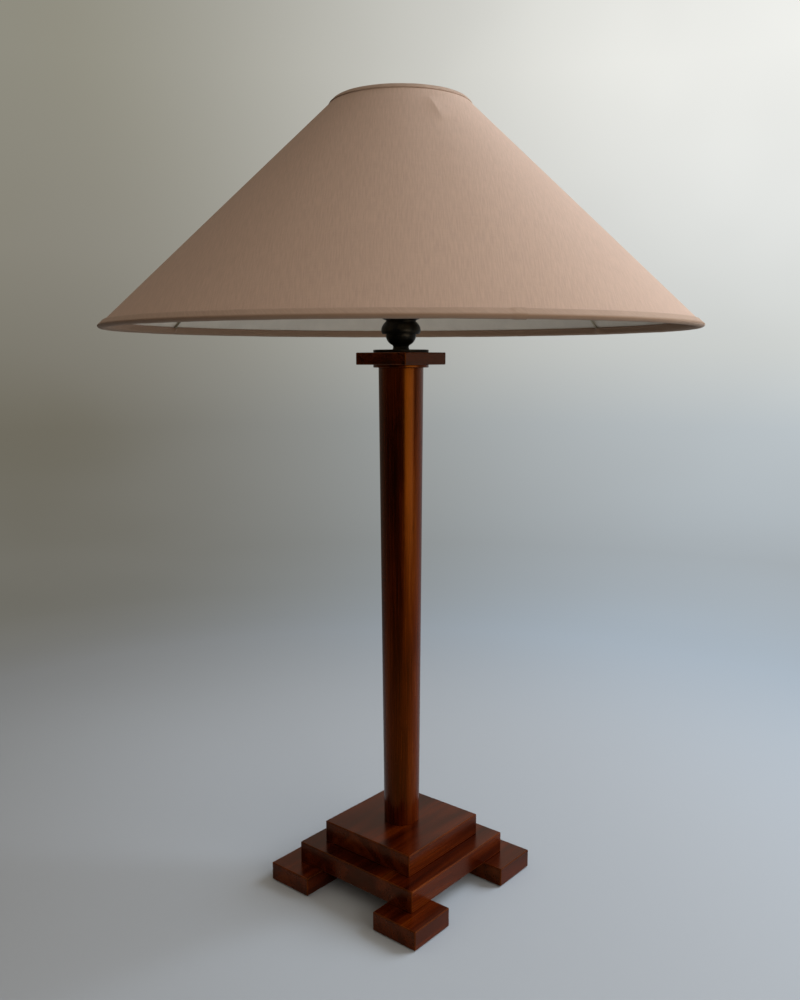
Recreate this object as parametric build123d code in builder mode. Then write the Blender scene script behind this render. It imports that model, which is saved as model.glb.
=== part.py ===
from build123d import *
import os
from math import hypot

# Column table lamp. Millimetres, +Z up. The origin is on the surface that the lamp stands on, under
# the column's axis. The square base has its sides along X and Y, and -Y is called the front.

# ---------------------------------------------------------------------------- driving sizes
# Base: four square feet at the corners of two stacked square slabs
base_side = 211.0
foot_side = 57.0
foot_height = 20.5
felt_thickness = 1.2
felt_margin = 4.0
plinth_side = 164.5
plinth_height = 23.6
block_side = 123.5
block_height = 24.0
edge_ease = 0.9

# Column, wider at its head, with a spigot turned on each end
column_length = 513.7
column_foot_diameter = 39.6
column_head_diameter = 48.2
column_edge_ease = 0.6
spigot_diameter = 26.0
foot_spigot_length = 15.0
head_spigot_length = 8.0

# Capital: round collar, square abacus, round metal plate
collar_diameter = 59.4
collar_thickness = 3.0
collar_edge_ease = 0.7
abacus_side = 68.6
abacus_thickness = 12.9
plate_diameter = 59.4
plate_thickness = 3.0
plate_edge_ease = 1.2

# Threaded tube that draws the whole stack together
tube_diameter = 10.0
tube_bore = 8.0
tube_above_plate = 10.0
tube_below_nut = 2.5
washer_diameter = 24.0
washer_thickness = 1.5
nut_across_flats = 14.0
nut_thickness = 6.0
nut_recess_diameter = 30.0
nut_recess_depth = 12.0
bush_bore = 6.8
bush_flange_diameter = 12.0
bush_flange_thickness = 2.0
bush_spigot_length = 8.0

# Wood screws
screw_head_diameter = 8.0
screw_head_depth = 2.6
screw_shank_diameter = 4.0
screw_point_length = 4.0
screw_length = 38.0
foot_screw_spread = 14.0
block_screw_ring = 86.0

# Lampholder: cap like an urn, bulging union ring, threaded shell, two shade rings
cap_foot_diameter = 17.9
cap_foot_height = 0.9
cap_neck_diameter = 16.7
cap_neck_height = 2.7
bowl_start_diameter = 18.8
bowl_start_height = 4.9
bowl_diameter = 32.4
bowl_height = 15.5
bowl_wall = 1.2
bowl_floor_height = 6.9
bowl_floor_diameter = 16.0
cap_thread_diameter = 36.0
cap_thread_start = 17.4
cap_thread_wall = 1.2
core_flange_thickness = 3.0
cap_height = 22.0
union_foot_diameter = 39.6
union_foot_height = 16.6
union_bulge_diameter = 42.0
union_bulge_height = 21.2
union_shoulder_diameter = 38.4
union_shoulder_height = 26.0
union_top_diameter = 33.9
union_top_height = 28.9
shell_diameter = 32.4
shell_wall = 0.9
shell_foot_thickness = 1.2
shell_top_height = 60.0
lower_ring_diameter = 39.4
lower_ring_height = 31.0
lower_ring_thickness = 2.9
lower_ring_edge = 1.6
upper_ring_diameter = 38.8
upper_ring_thickness = 6.0
upper_ring_ease = 0.8

# Inside the lampholder
core_floor_height = 27.0
core_rim_height = 31.0
screw_shell_diameter = 27.8
screw_shell_wall = 0.4
screw_shell_length = 23.0
contact_width = 5.0
contact_length = 14.0
contact_thickness = 0.6
terminal_length = 6.0
terminal_width = 5.5
terminal_height = 6.0
terminal_spacing = 19.0
terminal_screw_diameter = 3.0
terminal_screw_length = 5.0
mouth_ring_bore = 28.4
mouth_ring_depth = 9.0
mouth_ring_lip = 1.5

# Harp: saddle held between the shade rings, bow of round wire, locking sleeves, threaded seat
saddle_thickness = 1.5
saddle_arm_width = 8.0
saddle_arm_overhang = 4.0
harp_foot_spacing = 60.0
harp_wire_diameter = 3.2
harp_joint_height = 11.0
harp_leg_above_sleeve = 3.0
harp_crown_radius = 60.0
harp_height = 196.2
sleeve_diameter = 6.0
sleeve_length = 16.0
sleeve_travel = 12.0
seat_diameter = 18.0
seat_rim_thickness = 2.0
seat_boss_diameter = 9.0
seat_boss_height = 6.0
stud_diameter = 6.2
stud_length = 14.0

# Shade: wide cone of fabric on a stiff lining, two wire rings, three struts, bound edges
shade_rim_diameter = 614.0
shade_top_diameter = 145.5
shade_height = 231.35
spider_drop = 19.3
cover_thickness = 0.9
lining_thickness = 0.5
ring_wire_diameter = 3.2
strut_diameter = 2.4
strut_count = 3
first_strut_angle = 75.0
trim_thickness = 1.0
bottom_trim_width = 7.5
bottom_trim_return = 13.5
top_trim_width = 7.5
top_trim_return = 5.5

# Spider: washer and arms that carry the shade on the harp's seat
spider_washer_diameter = 28.0
spider_washer_thickness = 1.6
spider_washer_hole = 7.2
spider_arm_diameter = 2.6
spider_arm_rise_length = 18.0
spider_arm_bend = 7.0
spider_arm_root = 2.0

# Finial
finial_base_diameter = 14.0
finial_base_thickness = 2.2
finial_neck_diameter = 10.0
finial_neck_height = 5.0
finial_knob_diameter = 15.0
finial_height = 21.0
finial_tip_diameter = 4.0

# Bulb: round opal glass on a screw cap
bulb_diameter = 60.0
bulb_length = 104.0
bulb_neck_length = 34.0
bulb_glass_wall = 1.0
bulb_cap_diameter = 26.3
bulb_cap_height = 24.0
bulb_cap_start = 4.0
bulb_cap_wall = 0.5
bulb_contact_diameter = 9.0
bulb_contact_height = 1.2
bulb_insulator_top_diameter = 22.0
bulb_cement_overlap = 6.0

# Clearances
glue_gap = 0.05      # between glued wooden spigots and their sockets, all round
thread_gap = 0.05    # between two screwed pieces, all round
drill_gap = 0.5      # between the threaded tube and the wood that it passes through, all round
slide_gap = 0.05     # between a sliding sleeve and its wire, all round
lay_gap = 0.15       # between layers of the shade
binding_gap = 0.4    # between a ring's wire and the binding that wraps round it
contact_gap = 0.3    # between the bulb and what it nearly touches in the lampholder

# ---------------------------------------------------------------------------- levels and radii
foot_bottom = felt_thickness
plinth_bottom = foot_bottom + foot_height
block_bottom = plinth_bottom + plinth_height
column_bottom = block_bottom + block_height
collar_bottom = column_bottom + column_length
abacus_bottom = collar_bottom + collar_thickness
plate_bottom = abacus_bottom + abacus_thickness
holder_bottom = plate_bottom + plate_thickness

foot_centre = (base_side - foot_side) / 2
foot_inner_edge = base_side / 2 - foot_side
foot_screw_centre = (foot_inner_edge + plinth_side / 2) / 2

tube_hole_radius = tube_diameter / 2 + drill_gap
tube_thread_radius = tube_diameter / 2 + thread_gap
washer_top = plinth_bottom + nut_recess_depth
nut_top = washer_top - washer_thickness
tube_bottom = nut_top - nut_thickness - tube_below_nut
tube_top = holder_bottom + tube_above_plate

core_ledge = holder_bottom + cap_height - core_flange_thickness
shell_radius = shell_diameter / 2
shell_bore_radius = shell_radius - shell_wall
shell_foot = holder_bottom + cap_height
shell_top = holder_bottom + shell_top_height
core_floor = holder_bottom + core_floor_height
saddle_bottom = holder_bottom + lower_ring_height + lower_ring_thickness
saddle_top = saddle_bottom + saddle_thickness

harp_joint = saddle_top + harp_joint_height
harp_leg_top = saddle_top + sleeve_length + sleeve_travel + harp_leg_above_sleeve
seat_top = saddle_top + harp_height
harp_crown_top = seat_top - seat_rim_thickness - harp_wire_diameter
harp_crown_centre = harp_crown_top - harp_crown_radius

washer_level = seat_top
shade_top = washer_level + spider_drop
shade_bottom = shade_top - shade_height
finial_bottom = washer_level + spider_washer_thickness

bulb_bottom = core_floor + contact_thickness * 2 + contact_gap
bulb_top = bulb_bottom + bulb_length
bulb_cap_top = bulb_bottom + bulb_cap_start + bulb_cap_height
bulb_neck_top = bulb_bottom + bulb_cap_start + bulb_neck_length

corners = {
    "front_left": (-1, -1),
    "front_right": (1, -1),
    "back_left": (-1, 1),
    "back_right": (1, 1),
}
strut_angles = [first_strut_angle + 360 / strut_count * turn for turn in range(strut_count)]


def turned_about_z(plane, angle):
    """A plane carried round the lamp's axis by an angle in degrees."""
    return Plane(Location((0, 0, 0), (0, 0, angle)) * plane.location)


def crown_blend(foot_x, foot_z, crown_radius, crown_z):
    """Where an arc that leaves (foot_x, foot_z) straight up meets a circle on the axis, smoothly."""
    rise = crown_z - foot_z
    radius = (foot_x**2 + rise**2 - crown_radius**2) / (2 * (crown_radius - foot_x))
    centre_x = foot_x + radius
    share = radius / (radius + crown_radius)
    return centre_x * (1 - share), foot_z + rise * share


# ---------------------------------------------------------------------------- screws
def countersunk_screw(gap):
    """A countersunk screw that points up from z = 0, or with a gap all round, the hole for it."""
    head_radius = screw_head_diameter / 2 + gap
    shank_radius = screw_shank_diameter / 2 + gap
    with BuildPart() as screw:
        with BuildSketch(Plane.XZ):
            with BuildLine():
                Polyline(
                    (0, 0),
                    (head_radius, 0),
                    (shank_radius, screw_head_depth),
                    (shank_radius, screw_length - screw_point_length),
                    (0, screw_length + gap),
                    close=True,
                )
            make_face()
        revolve(axis=Axis.Z)
    return screw.part


wood_screw = countersunk_screw(0)
wood_screw_hole = countersunk_screw(glue_gap)

near = foot_screw_centre - foot_screw_spread / 2
far = foot_screw_centre + foot_screw_spread / 2
foot_screw_spots = [
    (side_x * x, side_y * y, foot_bottom)
    for side_x, side_y in corners.values()
    for x, y in ((near, far), (far, near))
]
block_screw_spots = [
    (side_x * block_screw_ring / 2, side_y * block_screw_ring / 2, plinth_bottom)
    for side_x, side_y in ((1, 0), (0, 1), (-1, 0), (0, -1))
]

with BuildPart() as foot_screws:
    with Locations(*foot_screw_spots):
        add(wood_screw)

with BuildPart() as block_screws:
    with Locations(*block_screw_spots):
        add(wood_screw)

# The way for the threaded tube through the wood, from end to end
with BuildPart() as tube_way:
    with BuildSketch():
        Circle(tube_hole_radius)
    extrude(amount=tube_top)
tube_hole = tube_way.part

# ---------------------------------------------------------------------------- base
feet = {}
for corner, (side_x, side_y) in corners.items():
    with BuildPart() as foot:
        with BuildSketch(Plane.XY.offset(foot_bottom)):
            with Locations((side_x * foot_centre, side_y * foot_centre)):
                Rectangle(foot_side, foot_side)
        extrude(amount=foot_height)
        fillet(foot.edges(), edge_ease)
        with Locations(*foot_screw_spots):
            add(wood_screw_hole, mode=Mode.SUBTRACT)
    feet[f"foot_{corner}"] = foot

with BuildPart() as felt_pads:
    with BuildSketch():
        with GridLocations(2 * foot_centre, 2 * foot_centre, 2, 2):
            Rectangle(foot_side - 2 * felt_margin, foot_side - 2 * felt_margin)
    extrude(amount=felt_thickness)

with BuildPart() as plinth:
    with BuildSketch(Plane.XY.offset(plinth_bottom)):
        Rectangle(plinth_side, plinth_side)
    extrude(amount=plinth_height)
    fillet(plinth.edges(), edge_ease)
    with BuildSketch(Plane.XY.offset(plinth_bottom)):
        Circle(nut_recess_diameter / 2)
    extrude(amount=nut_recess_depth, mode=Mode.SUBTRACT)
    add(tube_hole, mode=Mode.SUBTRACT)
    with Locations(*foot_screw_spots, *block_screw_spots):
        add(wood_screw_hole, mode=Mode.SUBTRACT)

with BuildPart() as block:
    with BuildSketch(Plane.XY.offset(block_bottom)):
        Rectangle(block_side, block_side)
    extrude(amount=block_height)
    fillet(block.edges(), edge_ease)
    with BuildSketch(Plane.XY.offset(column_bottom)):
        Circle(spigot_diameter / 2 + glue_gap)
    extrude(amount=-foot_spigot_length, mode=Mode.SUBTRACT)
    add(tube_hole, mode=Mode.SUBTRACT)
    with Locations(*block_screw_spots):
        add(wood_screw_hole, mode=Mode.SUBTRACT)

# ---------------------------------------------------------------------------- column and capital
with BuildPart() as column:
    with BuildSketch(Plane.XZ) as column_half:
        with BuildLine():
            Polyline(
                (0, column_bottom - foot_spigot_length),
                (spigot_diameter / 2, column_bottom - foot_spigot_length),
                (spigot_diameter / 2, column_bottom),
                (column_foot_diameter / 2, column_bottom),
                (column_head_diameter / 2, collar_bottom),
                (spigot_diameter / 2, collar_bottom),
                (spigot_diameter / 2, collar_bottom + head_spigot_length),
                (0, collar_bottom + head_spigot_length),
                close=True,
            )
        make_face()
        outer_corners = column_half.vertices().group_by(Axis.X)[-2:]
        chamfer([corner for group in outer_corners for corner in group], column_edge_ease)
    revolve(axis=Axis.Z)
    add(tube_hole, mode=Mode.SUBTRACT)

with BuildPart() as collar:
    with BuildSketch(Plane.XY.offset(collar_bottom)):
        Circle(collar_diameter / 2)
        Circle(spigot_diameter / 2 + glue_gap, mode=Mode.SUBTRACT)
    extrude(amount=collar_thickness)
    fillet(collar.edges().filter_by(GeomType.CIRCLE).sort_by(SortBy.RADIUS)[-2:], collar_edge_ease)

with BuildPart() as abacus:
    with BuildSketch(Plane.XY.offset(abacus_bottom)):
        Rectangle(abacus_side, abacus_side)
    extrude(amount=abacus_thickness)
    fillet(abacus.edges(), edge_ease)
    with BuildSketch(Plane.XY.offset(abacus_bottom)):
        Circle(spigot_diameter / 2 + glue_gap)
    extrude(amount=head_spigot_length - collar_thickness, mode=Mode.SUBTRACT)
    add(tube_hole, mode=Mode.SUBTRACT)

with BuildPart() as plate:
    with BuildSketch(Plane.XY.offset(plate_bottom)):
        Circle(plate_diameter / 2)
        Circle(tube_hole_radius, mode=Mode.SUBTRACT)
    extrude(amount=plate_thickness)
    fillet(plate.edges().filter_by(GeomType.CIRCLE).sort_by(SortBy.RADIUS)[-2:], plate_edge_ease)

# ---------------------------------------------------------------------------- threaded tube
with BuildPart() as threaded_tube:
    with BuildSketch(Plane.XY.offset(tube_bottom)):
        Circle(tube_diameter / 2)
        Circle(tube_bore / 2, mode=Mode.SUBTRACT)
    extrude(amount=tube_top - tube_bottom)

with BuildPart() as tube_washer:
    with BuildSketch(Plane.XY.offset(nut_top)):
        Circle(washer_diameter / 2)
        Circle(tube_thread_radius, mode=Mode.SUBTRACT)
    extrude(amount=washer_thickness)

with BuildPart() as tube_nut:
    with BuildSketch(Plane.XY.offset(nut_top - nut_thickness)):
        RegularPolygon(nut_across_flats / 2, 6, major_radius=False)
        Circle(tube_thread_radius, mode=Mode.SUBTRACT)
    extrude(amount=nut_thickness)

with BuildPart() as cable_bush:
    with BuildSketch(Plane.XY.offset(tube_bottom - bush_flange_thickness)):
        Circle(bush_flange_diameter / 2)
    extrude(amount=bush_flange_thickness)
    with BuildSketch(Plane.XY.offset(tube_bottom)):
        Circle(tube_bore / 2 - thread_gap)
    extrude(amount=bush_spigot_length)
    with BuildSketch(Plane.XY.offset(tube_bottom - bush_flange_thickness)):
        Circle(bush_bore / 2)
    extrude(amount=bush_flange_thickness + bush_spigot_length, mode=Mode.SUBTRACT)

# ---------------------------------------------------------------------------- lampholder
with BuildPart() as holder_cap:
    with BuildSketch(Plane.XZ):
        with BuildLine():
            foot = Polyline(
                (tube_thread_radius, holder_bottom),
                (cap_foot_diameter / 2, holder_bottom),
                (cap_foot_diameter / 2, holder_bottom + cap_foot_height),
            )
            neck = ThreePointArc(
                foot @ 1,
                (cap_neck_diameter / 2, holder_bottom + cap_neck_height),
                (bowl_start_diameter / 2, holder_bottom + bowl_start_height),
            )
            bowl_rim = (bowl_diameter / 2, holder_bottom + bowl_height)
            TangentArc(bowl_rim, neck @ 1, tangent=(0, -1))
            inner_rim = (bowl_diameter / 2 - bowl_wall, holder_bottom + bowl_height)
            thread_bore = cap_thread_diameter / 2 - cap_thread_wall
            Polyline(
                bowl_rim,
                (bowl_diameter / 2, holder_bottom + cap_thread_start),
                (cap_thread_diameter / 2, holder_bottom + cap_thread_start),
                (cap_thread_diameter / 2, shell_foot),
                (thread_bore, shell_foot),
                (thread_bore, core_ledge),
                (bowl_diameter / 2 - bowl_wall, core_ledge),
                inner_rim,
            )
            floor_edge = (bowl_floor_diameter / 2, holder_bottom + bowl_floor_height)
            TangentArc(inner_rim, floor_edge, tangent=(0, -1))
            Polyline(
                floor_edge,
                (tube_thread_radius, holder_bottom + bowl_floor_height),
                foot @ 0,
            )
        make_face()
    revolve(axis=Axis.Z)

with BuildPart() as union_ring:
    with BuildSketch(Plane.XZ):
        with BuildLine():
            thread_radius = cap_thread_diameter / 2 + thread_gap
            shoulder = shell_foot + shell_foot_thickness + thread_gap
            outside = Spline(
                (union_foot_diameter / 2, holder_bottom + union_foot_height),
                (union_bulge_diameter / 2, holder_bottom + union_bulge_height),
                (union_shoulder_diameter / 2, holder_bottom + union_shoulder_height),
                (union_top_diameter / 2, holder_bottom + union_top_height),
            )
            Polyline(
                outside @ 1,
                (shell_radius + thread_gap, holder_bottom + union_top_height),
                (shell_radius + thread_gap, shoulder),
                (thread_radius, shoulder),
                (thread_radius, holder_bottom + union_foot_height),
                outside @ 0,
            )
        make_face()
    revolve(axis=Axis.Z)

with BuildPart() as holder_shell:
    with BuildSketch(Plane.XY.offset(shell_foot)):
        Circle(cap_thread_diameter / 2)
        Circle(shell_bore_radius, mode=Mode.SUBTRACT)
    extrude(amount=shell_foot_thickness)
    with BuildSketch(Plane.XY.offset(shell_foot)):
        Circle(shell_radius)
        Circle(shell_bore_radius, mode=Mode.SUBTRACT)
    extrude(amount=shell_top - shell_foot)

with BuildPart() as shade_ring_lower:
    with BuildSketch(Plane.XZ):
        with BuildLine():
            Polyline(
                (shell_radius + thread_gap, saddle_bottom),
                (lower_ring_diameter / 2, saddle_bottom),
                (lower_ring_diameter / 2, saddle_bottom - lower_ring_edge),
                (shell_radius + thread_gap, saddle_bottom - lower_ring_thickness),
                close=True,
            )
        make_face()
    revolve(axis=Axis.Z)

with BuildPart() as shade_ring_upper:
    with BuildSketch(Plane.XY.offset(saddle_top)):
        Circle(upper_ring_diameter / 2)
        Circle(shell_radius + thread_gap, mode=Mode.SUBTRACT)
    extrude(amount=upper_ring_thickness)
    fillet(
        shade_ring_upper.edges().filter_by(GeomType.CIRCLE).sort_by(SortBy.RADIUS)[-2:],
        upper_ring_ease,
    )

with BuildPart() as insulator_core:
    with BuildSketch(Plane.XY.offset(core_ledge)):
        Circle(cap_thread_diameter / 2 - cap_thread_wall - thread_gap)
    extrude(amount=core_flange_thickness)
    with BuildSketch(Plane.XY.offset(shell_foot)):
        Circle(shell_bore_radius - thread_gap)
    extrude(amount=core_rim_height - cap_height)
    with BuildSketch(Plane.XY.offset(core_floor)):
        Circle(screw_shell_diameter / 2 + thread_gap)
    extrude(amount=core_rim_height - core_floor_height, mode=Mode.SUBTRACT)

with BuildPart() as screw_shell:
    with BuildSketch(Plane.XY.offset(core_floor)):
        Circle(screw_shell_diameter / 2)
    extrude(amount=screw_shell_length)
    with BuildSketch(Plane.XY.offset(core_floor + screw_shell_wall)):
        Circle(screw_shell_diameter / 2 - screw_shell_wall)
    extrude(amount=screw_shell_length, mode=Mode.SUBTRACT)
    with BuildSketch(Plane.XY.offset(core_floor)):
        Circle(hypot(contact_length, contact_width) / 2 + contact_gap)
    extrude(amount=screw_shell_wall, mode=Mode.SUBTRACT)

with BuildPart() as centre_contact:
    with BuildSketch(Plane.XZ):
        with BuildLine():
            Polyline(
                (-contact_length / 2, core_floor),
                (contact_length / 2, core_floor),
                (contact_length / 2, core_floor + contact_thickness),
                (contact_width / 2, core_floor + 2 * contact_thickness),
                (-contact_width / 2, core_floor + 2 * contact_thickness),
                (-contact_length / 2, core_floor + contact_thickness),
                close=True,
            )
        make_face()
    extrude(amount=contact_width / 2, both=True)

with BuildPart() as terminals:
    with BuildSketch(Plane.XY.offset(core_ledge - terminal_height)):
        with GridLocations(terminal_spacing, 0, 2, 1):
            Rectangle(terminal_length, terminal_width)
            Circle(terminal_screw_diameter / 2 + thread_gap, mode=Mode.SUBTRACT)
    extrude(amount=terminal_height)

with BuildPart() as terminal_screws:
    with BuildSketch(Plane.XY.offset(core_ledge - terminal_height)):
        with GridLocations(terminal_spacing, 0, 2, 1):
            Circle(terminal_screw_diameter / 2)
    extrude(amount=terminal_screw_length)

with BuildPart() as mouth_ring:
    with BuildSketch(Plane.XY.offset(shell_top - mouth_ring_depth)):
        Circle(shell_bore_radius - thread_gap)
        Circle(mouth_ring_bore / 2, mode=Mode.SUBTRACT)
    extrude(amount=mouth_ring_depth)
    with BuildSketch(Plane.XY.offset(shell_top)):
        Circle(shell_radius)
        Circle(mouth_ring_bore / 2, mode=Mode.SUBTRACT)
    extrude(amount=mouth_ring_lip)

# ---------------------------------------------------------------------------- harp
harp_wire_radius = harp_wire_diameter / 2
harp_foot_x = harp_foot_spacing / 2

with BuildPart() as harp_saddle:
    with BuildSketch(Plane.XY.offset(saddle_bottom)):
        Circle(lower_ring_diameter / 2)
        Rectangle(harp_foot_spacing + 2 * saddle_arm_overhang, saddle_arm_width)
        Circle(shell_radius + thread_gap, mode=Mode.SUBTRACT)
    extrude(amount=saddle_thickness)
    with BuildSketch(Plane.XY.offset(saddle_top)):
        with GridLocations(harp_foot_spacing, 0, 2, 1):
            Circle(harp_wire_radius)
    extrude(amount=harp_joint_height)

blend_x, blend_z = crown_blend(harp_foot_x, harp_leg_top, harp_crown_radius, harp_crown_centre)
with BuildPart() as harp_bow:
    with BuildLine(Plane.XZ) as bow_path:
        leg = Line((harp_foot_x, harp_joint), (harp_foot_x, harp_leg_top))
        side = TangentArc(leg @ 1, (blend_x, blend_z), tangent=(0, 1))
        crown = ThreePointArc(side @ 1, (0, harp_crown_top), (-blend_x, blend_z))
        far_side = TangentArc((-harp_foot_x, harp_leg_top), crown @ 1, tangent=(0, 1))
        Line(far_side @ 0, (-harp_foot_x, harp_joint))
    with BuildSketch(Plane((harp_foot_x, 0, harp_joint))):
        Circle(harp_wire_radius)
    sweep(path=bow_path.wire())

sleeves = {}
for side_name, side in (("left", -1), ("right", 1)):
    with BuildPart() as sleeve:
        with BuildSketch(Plane.XY.offset(saddle_top)):
            with Locations((side * harp_foot_x, 0)):
                Circle(sleeve_diameter / 2)
                Circle(harp_wire_radius + slide_gap, mode=Mode.SUBTRACT)
        extrude(amount=sleeve_length)
    sleeves[f"harp_sleeve_{side_name}"] = sleeve

with BuildPart() as harp_seat:
    with BuildSketch(Plane.XY.offset(seat_top - seat_rim_thickness)):
        Circle(seat_diameter / 2)
    extrude(amount=seat_rim_thickness)
    with BuildSketch(Plane.XY.offset(seat_top - seat_rim_thickness)):
        Circle(seat_boss_diameter / 2)
    extrude(amount=-seat_boss_height)
    with BuildSketch(Plane.XY.offset(seat_top)):
        Circle(stud_diameter / 2)
    extrude(amount=stud_length)
    add(harp_bow.part, mode=Mode.SUBTRACT)

# ---------------------------------------------------------------------------- shade
# The shade's cut through one side is drawn on a plane that lies along the slope: X runs up the
# slope from the rim, and Y points away from the lamp. Y is 0 on the outside of the bound edges.
cover_outside = -trim_thickness - lay_gap
cover_inside = cover_outside - cover_thickness
lining_inside = cover_inside - lining_thickness
wire_line = lining_inside - lay_gap - ring_wire_diameter / 2
trim_inner_skin = wire_line - ring_wire_diameter / 2 - binding_gap
trim_inside = trim_inner_skin - trim_thickness
roll_radius = -trim_inside / 2
wire_inset = roll_radius

slope_run = (shade_rim_diameter - shade_top_diameter) / 2
slope_rise = shade_height - 2 * roll_radius
slope_between_rolls = hypot(slope_run, slope_rise)
slope_length = slope_between_rolls + 2 * roll_radius
slope_direction = Vector(-slope_run, 0, slope_rise) / slope_between_rolls
slope_outward = Vector(slope_rise, 0, slope_run) / slope_between_rolls
rim_roll_centre = Vector(shade_rim_diameter / 2 - roll_radius, 0, shade_bottom + roll_radius)
slope_origin = rim_roll_centre + (slope_outward - slope_direction) * roll_radius
slope_plane = Plane(slope_origin, x_dir=slope_direction, z_dir=(0, 1, 0))


def skin_band(outside, inside):
    """A straight layer of the shade, as its length along the slope and its middle."""
    length = slope_length - 2 * wire_inset
    return length, outside - inside, slope_length / 2, (outside + inside) / 2


cover_length, cover_depth, cover_x, cover_y = skin_band(cover_outside, cover_inside)
with BuildPart() as shade_cover:
    with BuildSketch(slope_plane):
        with Locations((cover_x, cover_y)):
            Rectangle(cover_length, cover_depth)
    revolve(axis=Axis.Z)

lining_length, lining_depth, lining_x, lining_y = skin_band(cover_inside, lining_inside)
with BuildPart() as shade_lining:
    with BuildSketch(slope_plane):
        with Locations((lining_x, lining_y)):
            Rectangle(lining_length, lining_depth)
    revolve(axis=Axis.Z)

with BuildPart() as bottom_ring:
    with BuildSketch(slope_plane):
        with Locations((wire_inset, wire_line)):
            Circle(ring_wire_diameter / 2)
    revolve(axis=Axis.Z)

with BuildPart() as top_ring:
    with BuildSketch(slope_plane):
        with Locations((slope_length - wire_inset, wire_line)):
            Circle(ring_wire_diameter / 2)
    revolve(axis=Axis.Z)

strut_start = slope_plane.from_local_coords(Vector(wire_inset, wire_line, 0))
strut_end = slope_plane.from_local_coords(Vector(slope_length - wire_inset, wire_line, 0))
strut_plane = Plane(strut_start, z_dir=slope_direction)
with BuildPart() as struts:
    for angle in strut_angles:
        with BuildSketch(turned_about_z(strut_plane, angle)):
            Circle(strut_diameter / 2)
        extrude(amount=slope_length - 2 * wire_inset)
    add(bottom_ring.part, mode=Mode.SUBTRACT)
    add(top_ring.part, mode=Mode.SUBTRACT)

# ---------------------------------------------------------------------------- spider
arm_level = washer_level + spider_washer_thickness / 2
arm_start = (spider_washer_diameter / 2 - spider_arm_root, arm_level)
arm_bend = (strut_end.X - spider_arm_rise_length, arm_level)
with BuildPart() as spider:
    for angle in strut_angles:
        with BuildLine(turned_about_z(Plane.XZ, angle)) as arm_path:
            FilletPolyline(arm_start, arm_bend, (strut_end.X, strut_end.Z), radius=spider_arm_bend)
        with BuildSketch(Plane(arm_path.line @ 0, z_dir=arm_path.line % 0)):
            Circle(spider_arm_diameter / 2)
        sweep(path=arm_path.wire())
    with BuildSketch(Plane.XY.offset(washer_level)):
        Circle(spider_washer_diameter / 2)
    extrude(amount=spider_washer_thickness)
    with BuildSketch(Plane.XY.offset(washer_level)):
        Circle(spider_washer_hole / 2)
    extrude(amount=spider_washer_thickness, mode=Mode.SUBTRACT)
    add(top_ring.part, mode=Mode.SUBTRACT)

# ---------------------------------------------------------------------------- bound edges
def bound_edge(width, inside_return):
    """The cut of a bound edge: outside band, roll round the edge, and return on the inside."""
    skin = trim_thickness
    with BuildLine() as edge:
        down = Line((width, 0), (roll_radius, 0))
        roll = ThreePointArc(down @ 1, (0, -roll_radius), (roll_radius, trim_inside))
        inner = Polyline(
            roll @ 1,
            (inside_return, trim_inside),
            (inside_return, trim_inside + skin),
            (roll_radius, trim_inside + skin),
        )
        back = ThreePointArc(inner @ 1, (skin, -roll_radius), (roll_radius, -skin))
        Polyline(back @ 1, (width, -skin), down @ 0)
    return edge.line


bottom_edge = bound_edge(bottom_trim_width, bottom_trim_return)
top_edge = bound_edge(top_trim_width, top_trim_return)

with BuildPart() as bottom_trim:
    with BuildSketch(slope_plane):
        add(make_face(bottom_edge, mode=Mode.PRIVATE))
    revolve(axis=Axis.Z)

with BuildPart() as top_trim:
    with BuildSketch(slope_plane):
        upside_down = mirror(make_face(top_edge, mode=Mode.PRIVATE), about=Plane.YZ, mode=Mode.PRIVATE)
        with Locations((slope_length, 0)):
            add(upside_down)
    revolve(axis=Axis.Z)
    add(spider.part, mode=Mode.SUBTRACT)

# ---------------------------------------------------------------------------- finial
with BuildPart() as finial:
    with BuildSketch(Plane.XZ):
        with BuildLine():
            base = Polyline(
                (0, finial_bottom),
                (finial_base_diameter / 2, finial_bottom),
                (finial_base_diameter / 2, finial_bottom + finial_base_thickness),
                (finial_neck_diameter / 2, finial_bottom + finial_neck_height),
            )
            knob_level = finial_bottom + (finial_neck_height + finial_height) / 2
            tip = (finial_tip_diameter / 2, finial_bottom + finial_height)
            knob = ThreePointArc(base @ 1, (finial_knob_diameter / 2, knob_level), tip)
            Polyline(knob @ 1, (0, finial_bottom + finial_height), base @ 0)
        make_face()
    revolve(axis=Axis.Z)
    with BuildSketch(Plane.XY.offset(finial_bottom)):
        Circle(stud_diameter / 2 + thread_gap)
    stud_above_washer = stud_length - spider_washer_thickness
    extrude(amount=stud_above_washer + thread_gap, mode=Mode.SUBTRACT)

# ---------------------------------------------------------------------------- bulb
bulb_radius = bulb_diameter / 2
bulb_neck_radius = bulb_cap_diameter / 2 - bulb_cap_wall - thread_gap
glass_foot = bulb_cap_top - bulb_cement_overlap
globe_level = bulb_top - bulb_radius


def glass_side(inset):
    """The glass from its foot to its crown, drawn in from the outside by the inset."""
    foot_x, crown_radius = bulb_neck_radius - inset, bulb_radius - inset
    meet = crown_blend(bulb_neck_radius, bulb_neck_top, bulb_radius, globe_level)
    toward_globe = Vector(0 - meet[0], globe_level - meet[1]).normalized() * inset
    with BuildLine() as side:
        neck = Line((foot_x, glass_foot), (foot_x, bulb_neck_top))
        flare = TangentArc(
            neck @ 1, (meet[0] + toward_globe.X, meet[1] + toward_globe.Y), tangent=(0, 1)
        )
        TangentArc(flare @ 1, (0, globe_level + crown_radius), tangent=flare % 1)
    return side.line


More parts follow.
